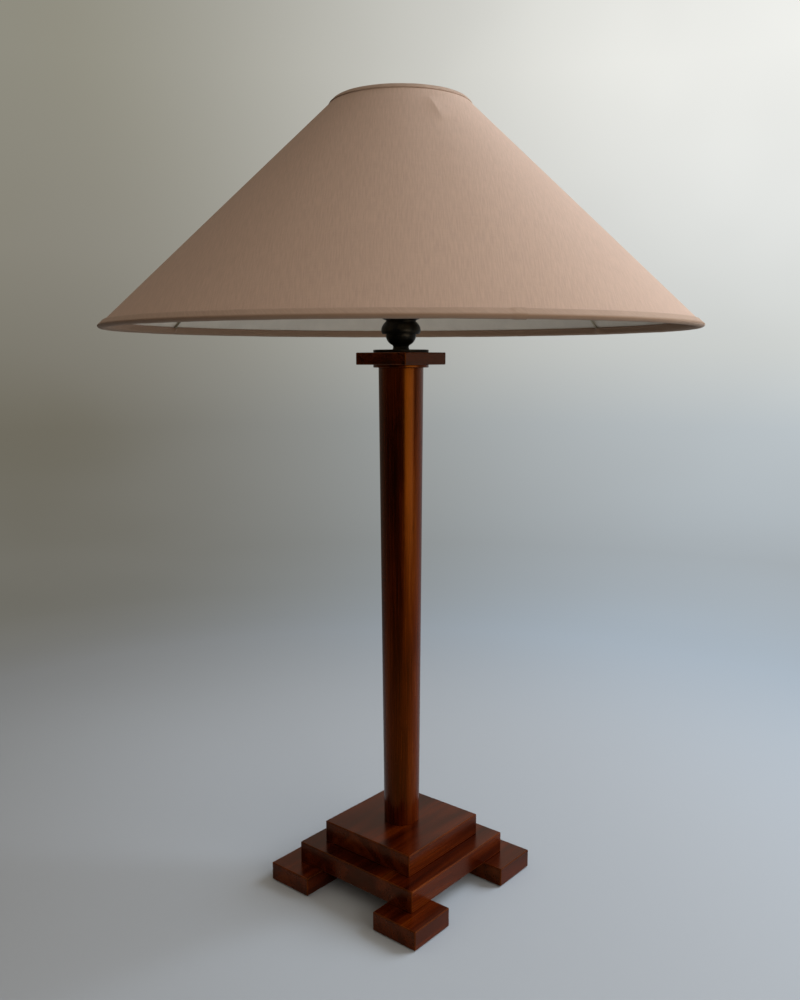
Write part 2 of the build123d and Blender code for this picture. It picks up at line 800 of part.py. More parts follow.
glass_outside = glass_side(0)
glass_inside = glass_side(bulb_glass_wall)
with BuildPart() as bulb_glass:
    with BuildSketch(Plane.XZ):
        with BuildLine():
            add(glass_outside)
            add(glass_inside)
            Line(glass_outside @ 0, glass_inside @ 0)
            Line(glass_outside @ 1, glass_inside @ 1)
        make_face()
    revolve(axis=Axis.Z)

with BuildPart() as bulb_cap:
    with BuildSketch(Plane.XY.offset(bulb_bottom + bulb_cap_start)):
        Circle(bulb_cap_diameter / 2)
    extrude(amount=bulb_cap_height)
    with BuildSketch(Plane.XY.offset(bulb_bottom + bulb_cap_start + bulb_cap_wall)):
        Circle(bulb_cap_diameter / 2 - bulb_cap_wall)
    extrude(amount=bulb_cap_height, mode=Mode.SUBTRACT)

with BuildPart() as bulb_contact:
    with BuildSketch(Plane.XY.offset(bulb_bottom)):
        Circle(bulb_contact_diameter / 2)
    extrude(amount=bulb_contact_height)

with BuildPart() as bulb_insulator:
    with BuildSketch(Plane.XY.offset(bulb_bottom + bulb_contact_height)):
        Circle(bulb_contact_diameter / 2)
    with BuildSketch(Plane.XY.offset(bulb_bottom + bulb_cap_start)):
        Circle(bulb_insulator_top_diameter / 2)
    loft()

# ---------------------------------------------------------------------------- hand over the pieces
pieces = {
    "felt_pads": felt_pads,
    "foot_screws": foot_screws,
    **feet,
    "plinth": plinth,
    "block_screws": block_screws,
    "block": block,
    "column": column,
    "collar": collar,
    "abacus": abacus,
    "plate": plate,
    "threaded_tube": threaded_tube,
    "tube_washer": tube_washer,
    "tube_nut": tube_nut,
    "cable_bush": cable_bush,
    "holder_cap": holder_cap,
    "union_ring": union_ring,
    "holder_shell": holder_shell,
    "shade_ring_lower": shade_ring_lower,
    "shade_ring_upper": shade_ring_upper,
    "insulator_core": insulator_core,
    "screw_shell": screw_shell,
    "centre_contact": centre_contact,
    "terminals": terminals,
    "terminal_screws": terminal_screws,
    "mouth_ring": mouth_ring,
    "harp_saddle": harp_saddle,
    "harp_bow": harp_bow,
    **sleeves,
    "harp_seat": harp_seat,
    "shade_cover": shade_cover,
    "shade_lining": shade_lining,
    "bottom_trim": bottom_trim,
    "top_trim": top_trim,
    "bottom_ring": bottom_ring,
    "top_ring": top_ring,
    "struts": struts,
    "spider": spider,
    "finial": finial,
    "bulb_glass": bulb_glass,
    "bulb_cap": bulb_cap,
    "bulb_contact": bulb_contact,
    "bulb_insulator": bulb_insulator,
}

os.makedirs("parts", exist_ok=True)
for name, piece in pieces.items():
    piece.part.label = name
    export_step(piece.part, f"parts/{name}.step")
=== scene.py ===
import math
from itertools import product

import bmesh
import bpy
import numpy as np
from mathutils import Matrix, Vector, noise


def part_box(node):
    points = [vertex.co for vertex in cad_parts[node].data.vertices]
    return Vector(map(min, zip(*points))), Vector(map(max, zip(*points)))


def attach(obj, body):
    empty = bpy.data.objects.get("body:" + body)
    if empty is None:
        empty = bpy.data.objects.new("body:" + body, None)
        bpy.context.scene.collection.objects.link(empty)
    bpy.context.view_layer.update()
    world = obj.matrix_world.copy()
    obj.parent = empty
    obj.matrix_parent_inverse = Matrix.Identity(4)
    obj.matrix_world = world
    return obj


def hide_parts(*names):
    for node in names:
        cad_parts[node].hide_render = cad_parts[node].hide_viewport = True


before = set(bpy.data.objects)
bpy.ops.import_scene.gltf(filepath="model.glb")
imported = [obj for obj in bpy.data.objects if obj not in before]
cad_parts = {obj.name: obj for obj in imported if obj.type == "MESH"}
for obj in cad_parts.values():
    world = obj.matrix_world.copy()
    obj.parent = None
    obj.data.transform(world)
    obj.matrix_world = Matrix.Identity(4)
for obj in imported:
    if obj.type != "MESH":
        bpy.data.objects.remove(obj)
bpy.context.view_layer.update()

MM = 0.001
TURN = 2 * math.pi
DEGREE = math.radians(1)


def in_scene(name, data):
    """A new object in the scene, with a mesh, a light or a camera as its data."""
    made = bpy.data.objects.new(name, data)
    bpy.context.scene.collection.objects.link(made)
    return made


# -------- camera
FOCAL_PIXELS = 940.6
IMAGE_LONG_SIDE = 1000
SENSOR = 36.0
CLIP_NEAR = 0.01
CLIP_FAR = 100.0
CAMERA_DISTANCE = 1.0189
CAMERA_HEIGHT = 0.5917
CAMERA_AZIMUTH = 39.86 * DEGREE
CAMERA_YAW = 0.073 * DEGREE
CAMERA_PITCH = 8.507 * DEGREE
CAMERA_ROLL = -0.097 * DEGREE

TOWARD_CAMERA = Vector((math.sin(CAMERA_AZIMUTH), -math.cos(CAMERA_AZIMUTH), 0))
CAMERA_RIGHT = Vector((math.cos(CAMERA_AZIMUTH), math.sin(CAMERA_AZIMUTH), 0))


def make_camera():
    """The camera that took the photograph, as a fit of the lamp's edges gives it."""
    camera = in_scene("camera", bpy.data.cameras.new("camera"))
    camera.data.sensor_width = SENSOR
    camera.data.lens = FOCAL_PIXELS / IMAGE_LONG_SIDE * SENSOR
    camera.data.clip_start = CLIP_NEAR
    camera.data.clip_end = CLIP_FAR
    camera.matrix_world = (
        Matrix.Translation(TOWARD_CAMERA * CAMERA_DISTANCE + Vector((0, 0, CAMERA_HEIGHT)))
        @ Matrix.Rotation(CAMERA_AZIMUTH + CAMERA_YAW, 4, "Z")
        @ Matrix.Rotation(TURN / 4 - CAMERA_PITCH, 4, "X")
        @ Matrix.Rotation(CAMERA_ROLL, 4, "Z")
    )
    bpy.context.scene.camera = camera


# -------- shader nodes
class Shader:
    """The nodes of a material or the world, with a short call for each kind that is used often."""

    def __init__(self, owner, surface="Principled BSDF"):
        owner.use_nodes = True
        self.owner = owner
        self.tree = owner.node_tree
        self.surface = self.tree.nodes[surface]

    def put(self, socket, value):
        """Links a socket to another or sets its value, which for a colour is (red, green, blue)."""
        if isinstance(value, bpy.types.NodeSocket):
            self.tree.links.new(value, socket)
        elif socket.type == "RGBA":
            socket.default_value = (*value, 1.0)
        else:
            socket.default_value = value

    def add(self, kind, inputs, **settings):
        node = self.tree.nodes.new("ShaderNode" + kind)
        for key, value in settings.items():
            setattr(node, key, value)
        for key, value in inputs.items():
            self.put(node.inputs[key], value)
        return node

    def finish(self, **inputs):
        """Sets the surface's own sockets; an underscore in a name stands for a space."""
        for key, value in inputs.items():
            self.put(self.surface.inputs[key.replace("_", " ")], value)
        return self.owner

    def place(self, kind="Object"):
        return self.add("TexCoord", {}).outputs[kind]

    def math(self, operation, a, b=0.0, c=0.0):
        return self.add("Math", {0: a, 1: b, 2: c}, operation=operation).outputs[0]

    def weighed(self, *terms, start=0.0):
        """The start plus each value times its weight, from (value, weight) terms."""
        total = start
        for value, weight in terms:
            total = self.math("MULTIPLY_ADD", value, weight, total)
        return total

    def hypot(self, a, b):
        return self.math("SQRT", self.math("ADD", self.math("POWER", a, 2.0), self.math("POWER", b, 2.0)))

    def vector(self, x, y, z):
        return self.add("CombineXYZ", {0: x, 1: y, 2: z}).outputs[0]

    def parts(self, vector):
        return self.add("SeparateXYZ", {0: vector}).outputs

    def vector_math(self, operation, a, b=(0, 0, 0), output=0):
        return self.add("VectorMath", {0: a, 1: b}, operation=operation).outputs[output]

    def noise(self, vector, stretch, detail=2.0, roughness=0.5, distortion=0.0, shift=None):
        """Noise over the vector, which is multiplied by the stretch, one number or three, and shifted."""
        scale = stretch if isinstance(stretch, tuple) else (stretch, stretch, stretch)
        vector = self.vector_math("MULTIPLY", vector, scale)
        if shift:
            vector = self.vector_math("ADD", vector, shift)
        return self.add("TexNoise", {
            "Vector": vector, "Scale": 1.0, "Detail": detail,
            "Roughness": roughness, "Distortion": distortion,
        }).outputs[0]

    def spread(self, value, low, high, to_low=0.0, to_high=1.0, kind="SMOOTHSTEP"):
        return self.add("MapRange", {
            "Value": value, "From Min": low, "From Max": high, "To Min": to_low, "To Max": to_high,
        }, interpolation_type=kind).outputs[0]

    def ramp(self, value, stops):
        node = self.add("ValToRGB", {0: value})
        elements = node.color_ramp.elements
        while len(elements) < len(stops):
            elements.new(0.5)
        for element, (position, colour) in zip(elements, stops):
            element.position = position
            element.color = (*colour, 1.0)
        return node.outputs[0]

    def mix(self, share, a, b):
        return self.add("Mix", {0: share, 6: a, 7: b}, data_type="RGBA").outputs[2]

    def bump(self, height, depth, strength, under=None):
        inputs = {"Height": height, "Distance": depth, "Strength": strength}
        if under is not None:
            inputs["Normal"] = under
        return self.add("Bump", inputs).outputs[0]


def new_finish(name):
    """The nodes of a new material that has the given name."""
    material = bpy.data.materials.new(name)
    return Shader(material)


def dimmed(tone, *shares):
    """A tone whose channels are multiplied by one share, or by a share each."""
    return tuple(channel * share for channel, share in zip(tone, shares * 3))


# -------- finishes
GRAIN_AXES = {"Y": (1, 0, 2), "Z": (2, 0, 1)}
WOOD_TONES = (
    (0.38, (0.008, 0.0006, 0.0002)), (0.47, (0.033, 0.0033, 0.0003)),
    (0.57, (0.074, 0.0095, 0.0005)), (0.70, (0.130, 0.0260, 0.0015)),
)
STREAK_TONE = (0.008, 0.0012, 0.0003)
PORE_TONE = (0.006, 0.0010, 0.0003)
# a lighter, more golden tone for the eased edges: rubbed finish, and a painted highlight along the edges
WORN_EDGE_HIGHLIGHT_TONE = (0.130, 0.0400, 0.0080)
WORN_EDGE_HIGHLIGHT_SHARE = 0.17


def mahogany(node, seed, grain="Y", golden=0.0, gloss=0.19):
    """French-polished mahogany for a node's box. Fibres run along one axis, round a pith beside it."""
    s = new_finish("mahogany_" + node)
    place = s.place()
    xyz = s.parts(place)
    along, across, third = (xyz[i] for i in GRAIN_AXES[grain])
    fibre = s.vector(along, across, third)
    rng = np.random.default_rng(seed)
    shift = [float(v) for v in rng.uniform(-3, 3, 3)]
    pith = [float(v) for v in rng.uniform(0.05, 0.12, 2)]
    wander = s.noise(fibre, (2.5, 9, 9), shift=shift)
    ring = s.hypot(s.math("ADD", across, pith[0]), s.math("ADD", third, pith[1]))
    ring = s.weighed((wander, 0.022), start=ring)
    bands = s.noise(s.vector(along, ring, shift[0]), (1.6, 95, 1), 3.0, 0.55)
    fibres = s.noise(fibre, (14, 620, 620), 3.0, 0.6, shift=shift)
    ribbon = s.noise(fibre, (5, 42, 42), 2.0, 0.5, 0.6, shift=shift)
    streak = s.noise(fibre, (20, 210, 210), shift=shift)
    pore = s.noise(fibre, (110, 2600, 2600), 0.0, shift=shift)
    colour = s.ramp(s.weighed((bands, 0.30), (ribbon, 0.46), (fibres, 0.24), start=golden), WOOD_TONES)
    colour = s.mix(s.spread(streak, 0.62, 0.80, 0.0, 0.60), colour, STREAK_TONE)
    colour = s.mix(s.spread(pore, 0.70, 0.78, 0.0, 0.5), colour, PORE_TONE)

    # distance to the nearest two faces of the piece, which is small only along its edges
    low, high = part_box(node)
    half = (high - low) / 2
    reach = s.parts(s.vector_math("ABSOLUTE", s.vector_math("SUBTRACT", place, (low + high) / 2)))
    gap = [s.math("SUBTRACT", float(half[i]), reach[i]) for i in range(3)]
    pairs = [s.math("MAXIMUM", gap[i], gap[j]) for i, j in ((0, 1), (1, 2), (0, 2))]
    edge = s.math("MINIMUM", s.math("MINIMUM", pairs[0], pairs[1]), pairs[2])
    # the edges are painted lighter and more golden: partly worn finish, partly a painted highlight; the same
    # mask makes them rougher
    patch = s.noise(place, 90, 3.0, 0.6)
    edge_wear_and_highlight = s.spread(s.weighed((patch, -0.0016), start=edge), -0.0006, 0.0008, 1.0, 0.0)
    colour = s.mix(s.math("MULTIPLY", edge_wear_and_highlight, WORN_EDGE_HIGHLIGHT_SHARE), colour, WORN_EDGE_HIGHLIGHT_TONE)

    wave = s.bump(s.noise(place, 26, 3.0, 0.6), 0.00035, 0.25)
    return s.finish(
        Base_Color=colour,
        Roughness=s.weighed((edge_wear_and_highlight, 0.25), start=s.spread(fibres, 0.3, 0.7, gloss, gloss + 0.08)),
        Normal=s.bump(s.spread(pore, 0.66, 0.80, 1.0, 0.0), 0.00004, 0.35, wave),
        Specular_IOR_Level=0.85,
        Specular_Tint=(1.0, 0.26, 0.02),
    )


THREAD_PITCH = 0.62 * MM
# how much darker the binding is round and inside its fold: painted shade, with some soiling
INNER_SHADE_AND_GRIME = (0.60, 0.52, 0.42)


def woven(name, tone, seed, bias=0.0, shaded_and_soiled=None):
    """Linen-like cloth. Threads follow the flat map in metres, turned by the bias angle. A strip
    that is folded round an edge is darkened from one distance across it to another: painted shade round and
    inside the fold, with some soiling."""
    s = new_finish(name)
    flat_map = s.add("UVMap", {}, uv_map="flat").outputs[0]
    flat = s.add("Mapping", {"Vector": flat_map, "Rotation": (0, 0, bias)}).outputs[0]
    uv = s.parts(flat)
    shift = (seed * 1.7, seed * 2.3, seed * 0.9)
    warp_slub = s.noise(flat, (900, 55, 1), 2.0, 0.55, shift=shift)
    weft_slub = s.noise(flat, (60, 900, 1), 2.0, 0.55, shift=shift)
    fluff = s.noise(flat, (2600, 2600, 1), 2.0, 0.6, shift=shift)
    cloud = s.noise(s.place(), 7, 3.0)
    wander = s.weighed((warp_slub, 0.6), start=-0.3)
    warp, weft = (s.math("SINE", s.weighed((uv[k], TURN / THREAD_PITCH), start=wander)) for k in (0, 1))
    weave = s.weighed((s.math("MULTIPLY", warp, weft), 0.5), start=0.5)
    slub = s.weighed((weft_slub, 0.22), (warp_slub, 0.78), (fluff, 0.25), start=-0.125)
    colour = s.mix(s.spread(slub, 0.3, 0.7), dimmed(tone, 0.91), dimmed(tone, 1.06))
    colour = s.mix(s.spread(weave, 0.0, 0.6, 0.13, 0.0), colour, dimmed(tone, 0.55))
    colour = s.mix(s.spread(cloud, 0.35, 0.7, 0.0, 0.10), colour, dimmed(tone, 0.82))
    # darkens the cloth beyond a distance from its free outer edge: painted shade round and inside the fold,
    # with some soiling
    if shaded_and_soiled:
        colour = s.mix(s.spread(s.parts(flat_map)[1], *shaded_and_soiled, 0.0, 0.85), colour, dimmed(tone, *INNER_SHADE_AND_GRIME))
    relief = s.weighed((warp_slub, 0.8), (weft_slub, 0.8), (fluff, 0.4), start=weave)
    return s.finish(
        Base_Color=colour,
        Roughness=s.spread(slub, 0.3, 0.7, 0.86, 0.96),
        Normal=s.bump(relief, 0.00010, 0.36),
        Specular_IOR_Level=0.25,
        Sheen_Weight=0.12,
        Sheen_Roughness=0.5,
    )


def metal(name, tone, dull, roughness, tarnish, seed, metallic=1.0, marks=(160, 160, 5200)):
    """A metal with tarnish in patches, fine turning marks round the axis and a grain in its gloss."""
    s = new_finish(name)
    place = s.place()
    shift = (seed * 0.37, seed * 0.71, seed * 0.53)
    patch = s.noise(place, 120, 4.0, 0.6, shift=shift)
    speck = s.noise(place, 900, 2.0, 0.6, shift=shift)
    stain = s.weighed((patch, 0.65), (speck, 0.35))
    return s.finish(
        Base_Color=s.mix(s.spread(stain, 0.62 - 0.3 * tarnish, 0.72 - 0.1 * tarnish), tone, dull),
        Metallic=metallic,
        Roughness=s.spread(stain, 0.3, 0.75, roughness, roughness + 0.25),
        Normal=s.bump(s.weighed((speck, 0.6), start=s.noise(place, marks, 2.0, 0.6)), 0.00003, 0.4),
    )


def plain(name, tone, roughness, mottle=0.1, grain=300.0, depth=0.00002, **more):
    """Porcelain, moulded or painted surfaces: faint mottling and a fine texture."""
    s = new_finish(name)
    place = s.place()
    patch = s.noise(place, grain / 8, 3.0, 0.6)
    fine = s.noise(place, grain, 2.0, 0.6)
    return s.finish(
        Base_Color=s.mix(s.spread(patch, 0.3, 0.7), tone, dimmed(tone, 1 - mottle)),
        Roughness=s.spread(fine, 0.3, 0.7, roughness * 0.85, roughness * 1.15),
        Normal=s.bump(fine, depth, 0.5),
        Coat_Roughness=0.08,
        **more,
    )


FELT_TONES = (
    (0.3, (0.012, 0.010, 0.008)), (0.52, (0.032, 0.026, 0.020)), (0.75, (0.075, 0.062, 0.050)),
)


def felted(name, tones):
    """Felt: matted fibres in every direction."""
    s = new_finish(name)
    place = s.place()
    hair = s.noise(place, 700, 4.0, 0.7, 1.8)
    wool = s.noise(place, 140, 3.0, 0.6, 0.8)
    tangle = s.weighed((wool, 0.4), (hair, 0.6))
    return s.finish(
        Base_Color=s.ramp(tangle, tones),
        Roughness=0.95,
        Normal=s.bump(tangle, 0.0006, 0.8),
        Specular_IOR_Level=0.2,
        Sheen_Weight=0.3,
        Sheen_Roughness=0.6,
    )


# -------- finishes by slot
BRONZE = metal("bronze", (0.034, 0.025, 0.014), (0.009, 0.008, 0.006), 0.32, 0.9, 1, 0.85)
HARP_BRASS = metal("harp_brass", (0.62, 0.40, 0.14), (0.30, 0.18, 0.06), 0.26, 0.5, 2)
BRIGHT_BRASS = metal("bright_brass", (0.80, 0.56, 0.22), (0.45, 0.28, 0.10), 0.18, 0.3, 3)
STEEL = metal("zinc_steel", (0.62, 0.62, 0.60), (0.36, 0.35, 0.33), 0.32, 0.5, 4)
ALUMINIUM = metal("cap_aluminium", (0.78, 0.78, 0.78), (0.55, 0.55, 0.54), 0.28, 0.3, 5)
WIRE = metal("frame_wire", (0.50, 0.43, 0.30), (0.26, 0.21, 0.14), 0.38, 0.6, 6, marks=500)
PORCELAIN = plain("porcelain", (0.80, 0.77, 0.70), 0.22, Coat_Weight=0.6)
BLACK_PLASTIC = plain("black_plastic", (0.018, 0.018, 0.018), 0.42, 0.2, 900.0, 0.00004)
OPAL = plain("opal_glass", (0.86, 0.86, 0.83), 0.16, 0.03, 60.0, 0.00001, Coat_Weight=1.0,
             Subsurface_Weight=0.25)
LINING = plain("shade_lining", (0.74, 0.65, 0.53), 0.55, 0.08, 240.0, 0.00005)
FELT = felted("felt", FELT_TONES)
LINEN = woven("shade_fabric", (0.555, 0.388, 0.295), 1)
# the last pair gives where the binding is darkened round and inside its fold: painted shade, with some
# soiling
BINDING = woven("trim_fabric", (0.445, 0.308, 0.225), 2, 45 * DEGREE, (5.0 * MM, 8.5 * MM))

NODES_BY_FINISH = (
    (BRONZE, "holder_cap union_ring"),
    (PORCELAIN, "insulator_core mouth_ring"),
    (BRIGHT_BRASS, "screw_shell centre_contact terminals"),
    (STEEL, "terminal_screws"),
    (HARP_BRASS, "harp_saddle harp_bow"),
    (WIRE, "bottom_ring top_ring struts spider"),
    (OPAL, "bulb_glass"),
    (ALUMINIUM, "bulb_contact"),
    (BLACK_PLASTIC, "bulb_insulator"),
)


def dress_nodes():
    """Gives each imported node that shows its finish. Pieces stand for all the others."""
    for finish, names in NODES_BY_FINISH:
        for name in names.split():
            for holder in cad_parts[name].material_slots:
                holder.material = finish


# -------- mesh makers
HOLE_SIDES = 48


def outward_mesh(name, verts, faces):
    """A mesh whose faces all look outward."""
    mesh = bpy.data.meshes.new(name)
    mesh.from_pydata([tuple(v) for v in verts], [], [tuple(f) for f in faces])
    mesh.validate()
    builder = bmesh.new()
    builder.from_mesh(mesh)
    bmesh.ops.recalc_face_normals(builder, faces=builder.faces)
    builder.to_mesh(mesh)
    builder.free()
    return mesh


def piece_from(name, verts, faces, finish, node=None, body="stand", flat_map=None, sharp=32.0):
    """A piece of the lamp: its mesh, its finish with the slot, the node that it stands for and the
    body that it rides on."""
    mesh = outward_mesh(name, verts, faces)
    if flat_map is not None:
        layer = mesh.uv_layers.new(name="flat")
        corners = np.zeros(len(mesh.loops), np.int32)
        mesh.loops.foreach_get("vertex_index", corners)
        layer.data.foreach_set("uv", np.asarray(flat_map, np.float32)[corners].ravel())
    mesh.shade_smooth()
    mesh.set_sharp_from_angle(angle=sharp * DEGREE)
    mesh.materials.append(finish)
    piece = in_scene(name, mesh)
    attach(piece, body)
    if node:
        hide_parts(node)
    return piece


def eased(corners, ease, steps=4):
    """A closed outline of (radius, z) corners with each corner rounded by up to the ease."""
    outline = []
    count = len(corners)
    for i in range(count):
        before, at, after = (Vector(corners[(i + k) % count]) for k in (-1, 0, 1))
        cut = min(ease, (before - at).length * 0.45, (after - at).length * 0.45)
        start = at + (before - at).normalized() * cut
        end = at + (after - at).normalized() * cut
        for k in range(steps + 1):
            t = k / steps
            outline.append(tuple((start * (1 - t) + at * t) * (1 - t) + (at * (1 - t) + end * t) * t))
    return outline


def densified(outline, longest):
    """The closed outline with its long runs divided, so that a relief has points to move."""
    dense = []
    for at, after in zip(outline, outline[1:] + outline[:1]):
        pieces = max(1, math.ceil(math.dist(at, after) / longest))
        dense += [tuple(a + (b - a) * k / pieces for a, b in zip(at, after)) for k in range(pieces)]
    return dense


def smoothed(points, steps):
    """A Catmull-Rom line through the points, with the steps between each two."""
    padded = [points[0], *points, points[-1]]
    line = []
    for a, b, c, d in zip(padded, padded[1:], padded[2:], padded[3:]):
        for k in range(steps):
            t = k / steps
            line.append(tuple(
                0.5 * (2 * q + (r - p) * t + (2 * p - 5 * q + 4 * r - s) * t ** 2
                       + (3 * q - p - 3 * r + s) * t ** 3)
                for p, q, r, s in zip(a, b, c, d)))
    return line + [points[-1]]


def in_mm(level, *points):
    """(radius, z) points from ones that are given in millimetres, with z above a level."""
    return [(radius * MM, level + z * MM) for radius, z in points]


def upright(radius, low, high, step):
    """Points up a straight side from low to high, a step or less apart."""
    count = max(1, math.ceil((high - low) / step))
    return [(radius, low + (high - low) * k / count) for k in range(count + 1)]


def extent(node):
    """How far out a node's box reaches, and its lowest and highest z."""
    low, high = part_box(node)
    return high.x, low.z, high.z


def box_cut(node, bore):
    """The outline of a plain ring that fills a node's box round a bore."""
    out, low, high = extent(node)
    return [(bore, low), (out, low), (out, high), (bore, high)]


def neighbours(count, closed=True):
    """Each index with the next, and the last with the first if the row is closed."""
    return [(k, (k + 1) % count) for k in range(count if closed else count - 1)]


def quads(rows, size, rows_closed=True, row_closed=True):
    """The faces between neighbouring rows of points, which lie row by row."""
    return [
        (i * size + k, j * size + k, j * size + m, i * size + m)
        for i, j in neighbours(rows, rows_closed) for k, m in neighbours(size, row_closed)
    ]


def swept(radius, height, angles, centre=(0, 0)):
    """Points from their radii and heights, in a row for each of the angles."""
    x = centre[0] + radius * np.cos(angles)
    y = centre[1] + radius * np.sin(angles)
    return np.stack([x, y, height], axis=2).reshape(-1, 3)


def revolved(outline, around, relief=None, centre=(0, 0)):
    """The points and faces of (radius, z) points turned about an upright axis. The outline closes
    on itself, or runs from the axis back to the axis. A relief gives how far a point moves
    outward, from its radius, its height and its angle."""
    points = np.array(outline, float)
    solid = points[0, 0] == 0
    row = points[1:-1] if solid else points
    count = len(row)
    angles = (np.arange(around) / around * TURN)[:, None]
    radius = np.repeat(row[None, :, 0], around, axis=0)
    height = np.repeat(row[None, :, 1], around, axis=0)
    if relief:
        radius = radius + relief(radius, height, angles)
    verts = list(swept(radius, height, angles, centre))
    faces = quads(around, count, row_closed=not solid)
    if solid:
        first, last = len(verts), len(verts) + 1
        verts += [(*centre, points[0, 1]), (*centre, points[-1, 1])]
        for i, j in neighbours(around):
            faces.append((first, j * count, i * count))
            faces.append((last, i * count + count - 1, j * count + count - 1))
    return verts, faces


def turned(node, ending, outline, finish, around, relief=None, centre=(0, 0), **more):
    """A turned piece that stands for a node and has its name with an ending."""
    verts, faces = revolved(outline, around, relief, centre)
    return piece_from(f"{node}_{ending}", verts, faces, finish, node, **more)


def joined(parts):
    """The points and faces of several meshes as those of one."""
    verts, faces = [], []
    for points, polygons in parts:
        faces += [tuple(len(verts) + k for k in polygon) for polygon in polygons]
        verts += list(points)
    return verts, faces


def cut_with(piece, builder, place=(0, 0, 0)):
    """Takes the shape in a mesh builder, moved to a place, out of the piece."""
    mesh = bpy.data.meshes.new("cutter")
    builder.to_mesh(mesh)
    builder.free()
    cutter = in_scene("cutter", mesh)
    cutter.location = place
    bpy.context.view_layer.update()
    cut = piece.modifiers.new("cut", "BOOLEAN")
    cut.operation = "DIFFERENCE"
    cut.solver = "EXACT"
    cut.object = cutter
    result = bpy.data.meshes.new_from_object(piece.evaluated_get(bpy.context.evaluated_depsgraph_get()))
    piece.modifiers.clear()
    piece.data = result
    bpy.data.objects.remove(cutter)


def drill(piece, x, y, bottom, top, radius, top_radius=None):
    """Cuts a round upright hole into a piece, or a countersink where the two radii differ."""
    builder = bmesh.new()
    bmesh.ops.create_cone(builder, cap_ends=True, segments=HOLE_SIDES, radius1=radius,
                          radius2=top_radius or radius, depth=top - bottom)
    cut_with(piece, builder, (x, y, (bottom + top) / 2))


# -------- reliefs
def outer_relief(shape, depth, low, high, fade, outside_of):
    """A relief of a shape on the outer face, between two heights and fading toward both."""
    def relief(radius, height, angle):
        inside = np.clip((height - low) / fade, 0, 1) * np.clip((high - height) / fade, 0, 1)
        return depth * shape(height, angle) * inside * (radius > outside_of)
    return relief


def ribbed_thread(pitch, *place):
    """A screw thread as a relief: a round-topped helix."""
    return outer_relief(
        lambda height, angle: np.cos((height / pitch - angle / TURN) % 1.0 * TURN) * 0.5 - 0.5, *place)


def knurled(count, *place):
    """Straight knurling as a relief."""
    return outer_relief(lambda height, angle: np.sin(angle * count / 2) ** 2 - 1, *place)


def grooved(heights, depth, width, outside_of):
    """Turned grooves as a relief on the outer face, one at each height."""
    def relief(radius, height, angle):
        cut = sum(np.exp(-((height - level) / width) ** 2) for level in heights)
        return -depth * cut * (radius > outside_of) + 0 * angle
    return relief


def hexagonal(across, low, high, outside_of):
    """The relief that makes a hexagon with chamfered corners of a round outer face."""
    apothem = across / 2

    def relief(radius, height, angle):
        flat = apothem / np.cos((angle % (TURN / 6)) - TURN / 12)
        chamfer = apothem * 0.985 + 1.73 * np.minimum(height - low, high - height)
        return (np.minimum(flat, chamfer) - radius) * (radius > outside_of)
    return relief


def squared(power, depth, waves):
    """The relief that makes a square with round corners of a round outline, with (count, phase)
    waves in its edge."""
    def relief(radius, height, angle):
        square = (np.abs(np.cos(angle)) ** power + np.abs(np.sin(angle)) ** power) ** (-1 / power)
        return radius * (square - 1) + depth * sum(np.sin(n * angle + phase) for n, phase in waves)
    return relief


def together(*reliefs):
    """A relief that is the sum of others."""
    return lambda radius, height, angle: sum(relief(radius, height, angle) for relief in reliefs)


# -------- wood
EDGE_EASE = 0.9 * MM
EDGE_WEAR = 0.16 * MM
WEAR_SCALE = 55
GRID_CELL = 7 * MM
OVERSHOOT = 5 * MM
TUBE_WAY_RADIUS = 5.5 * MM
NUT_RECESS_RADIUS = 15.0 * MM
SPIGOT_RADIUS = 13.0 * MM
COLUMN_FOOT_RADIUS = 19.8 * MM
COLUMN_HEAD_RADIUS = 24.1 * MM

FEET = {"front_left": (-1, -1), "front_right": (1, -1), "back_left": (-1, 1), "back_right": (1, 1)}
FOOT_SCREW_NEAR = 58.375 * MM
FOOT_SCREW_FAR = 72.375 * MM
BLOCK_SCREW_RING = 43.0 * MM
BLOCK_SPOTS = [(BLOCK_SCREW_RING, 0), (0, BLOCK_SCREW_RING), (-BLOCK_SCREW_RING, 0), (0, -BLOCK_SCREW_RING)]
SCREW_HEAD_RADIUS = 4.0 * MM
SCREW_HEAD_DEPTH = 2.6 * MM
SCREW_SHANK_RADIUS = 2.0 * MM
SCREW_LENGTH = 38.0 * MM
SCREW_GAP = 0.05 * MM


def axis_lines(half, cell):
    """Where a slab's grid lines cross one axis: close together over the eased edges."""
    flat = half - EDGE_EASE
    arcs = [flat + EDGE_EASE * math.tan(a * DEGREE) for a in (0, 15, 30, 45)]
    inner_edge = flat - EDGE_EASE * 0.6
    count = max(1, round(2 * inner_edge / cell))
    inside = [-inner_edge + 2 * inner_edge * k / count for k in range(count + 1)]
    return [-a for a in reversed(arcs)] + inside + arcs


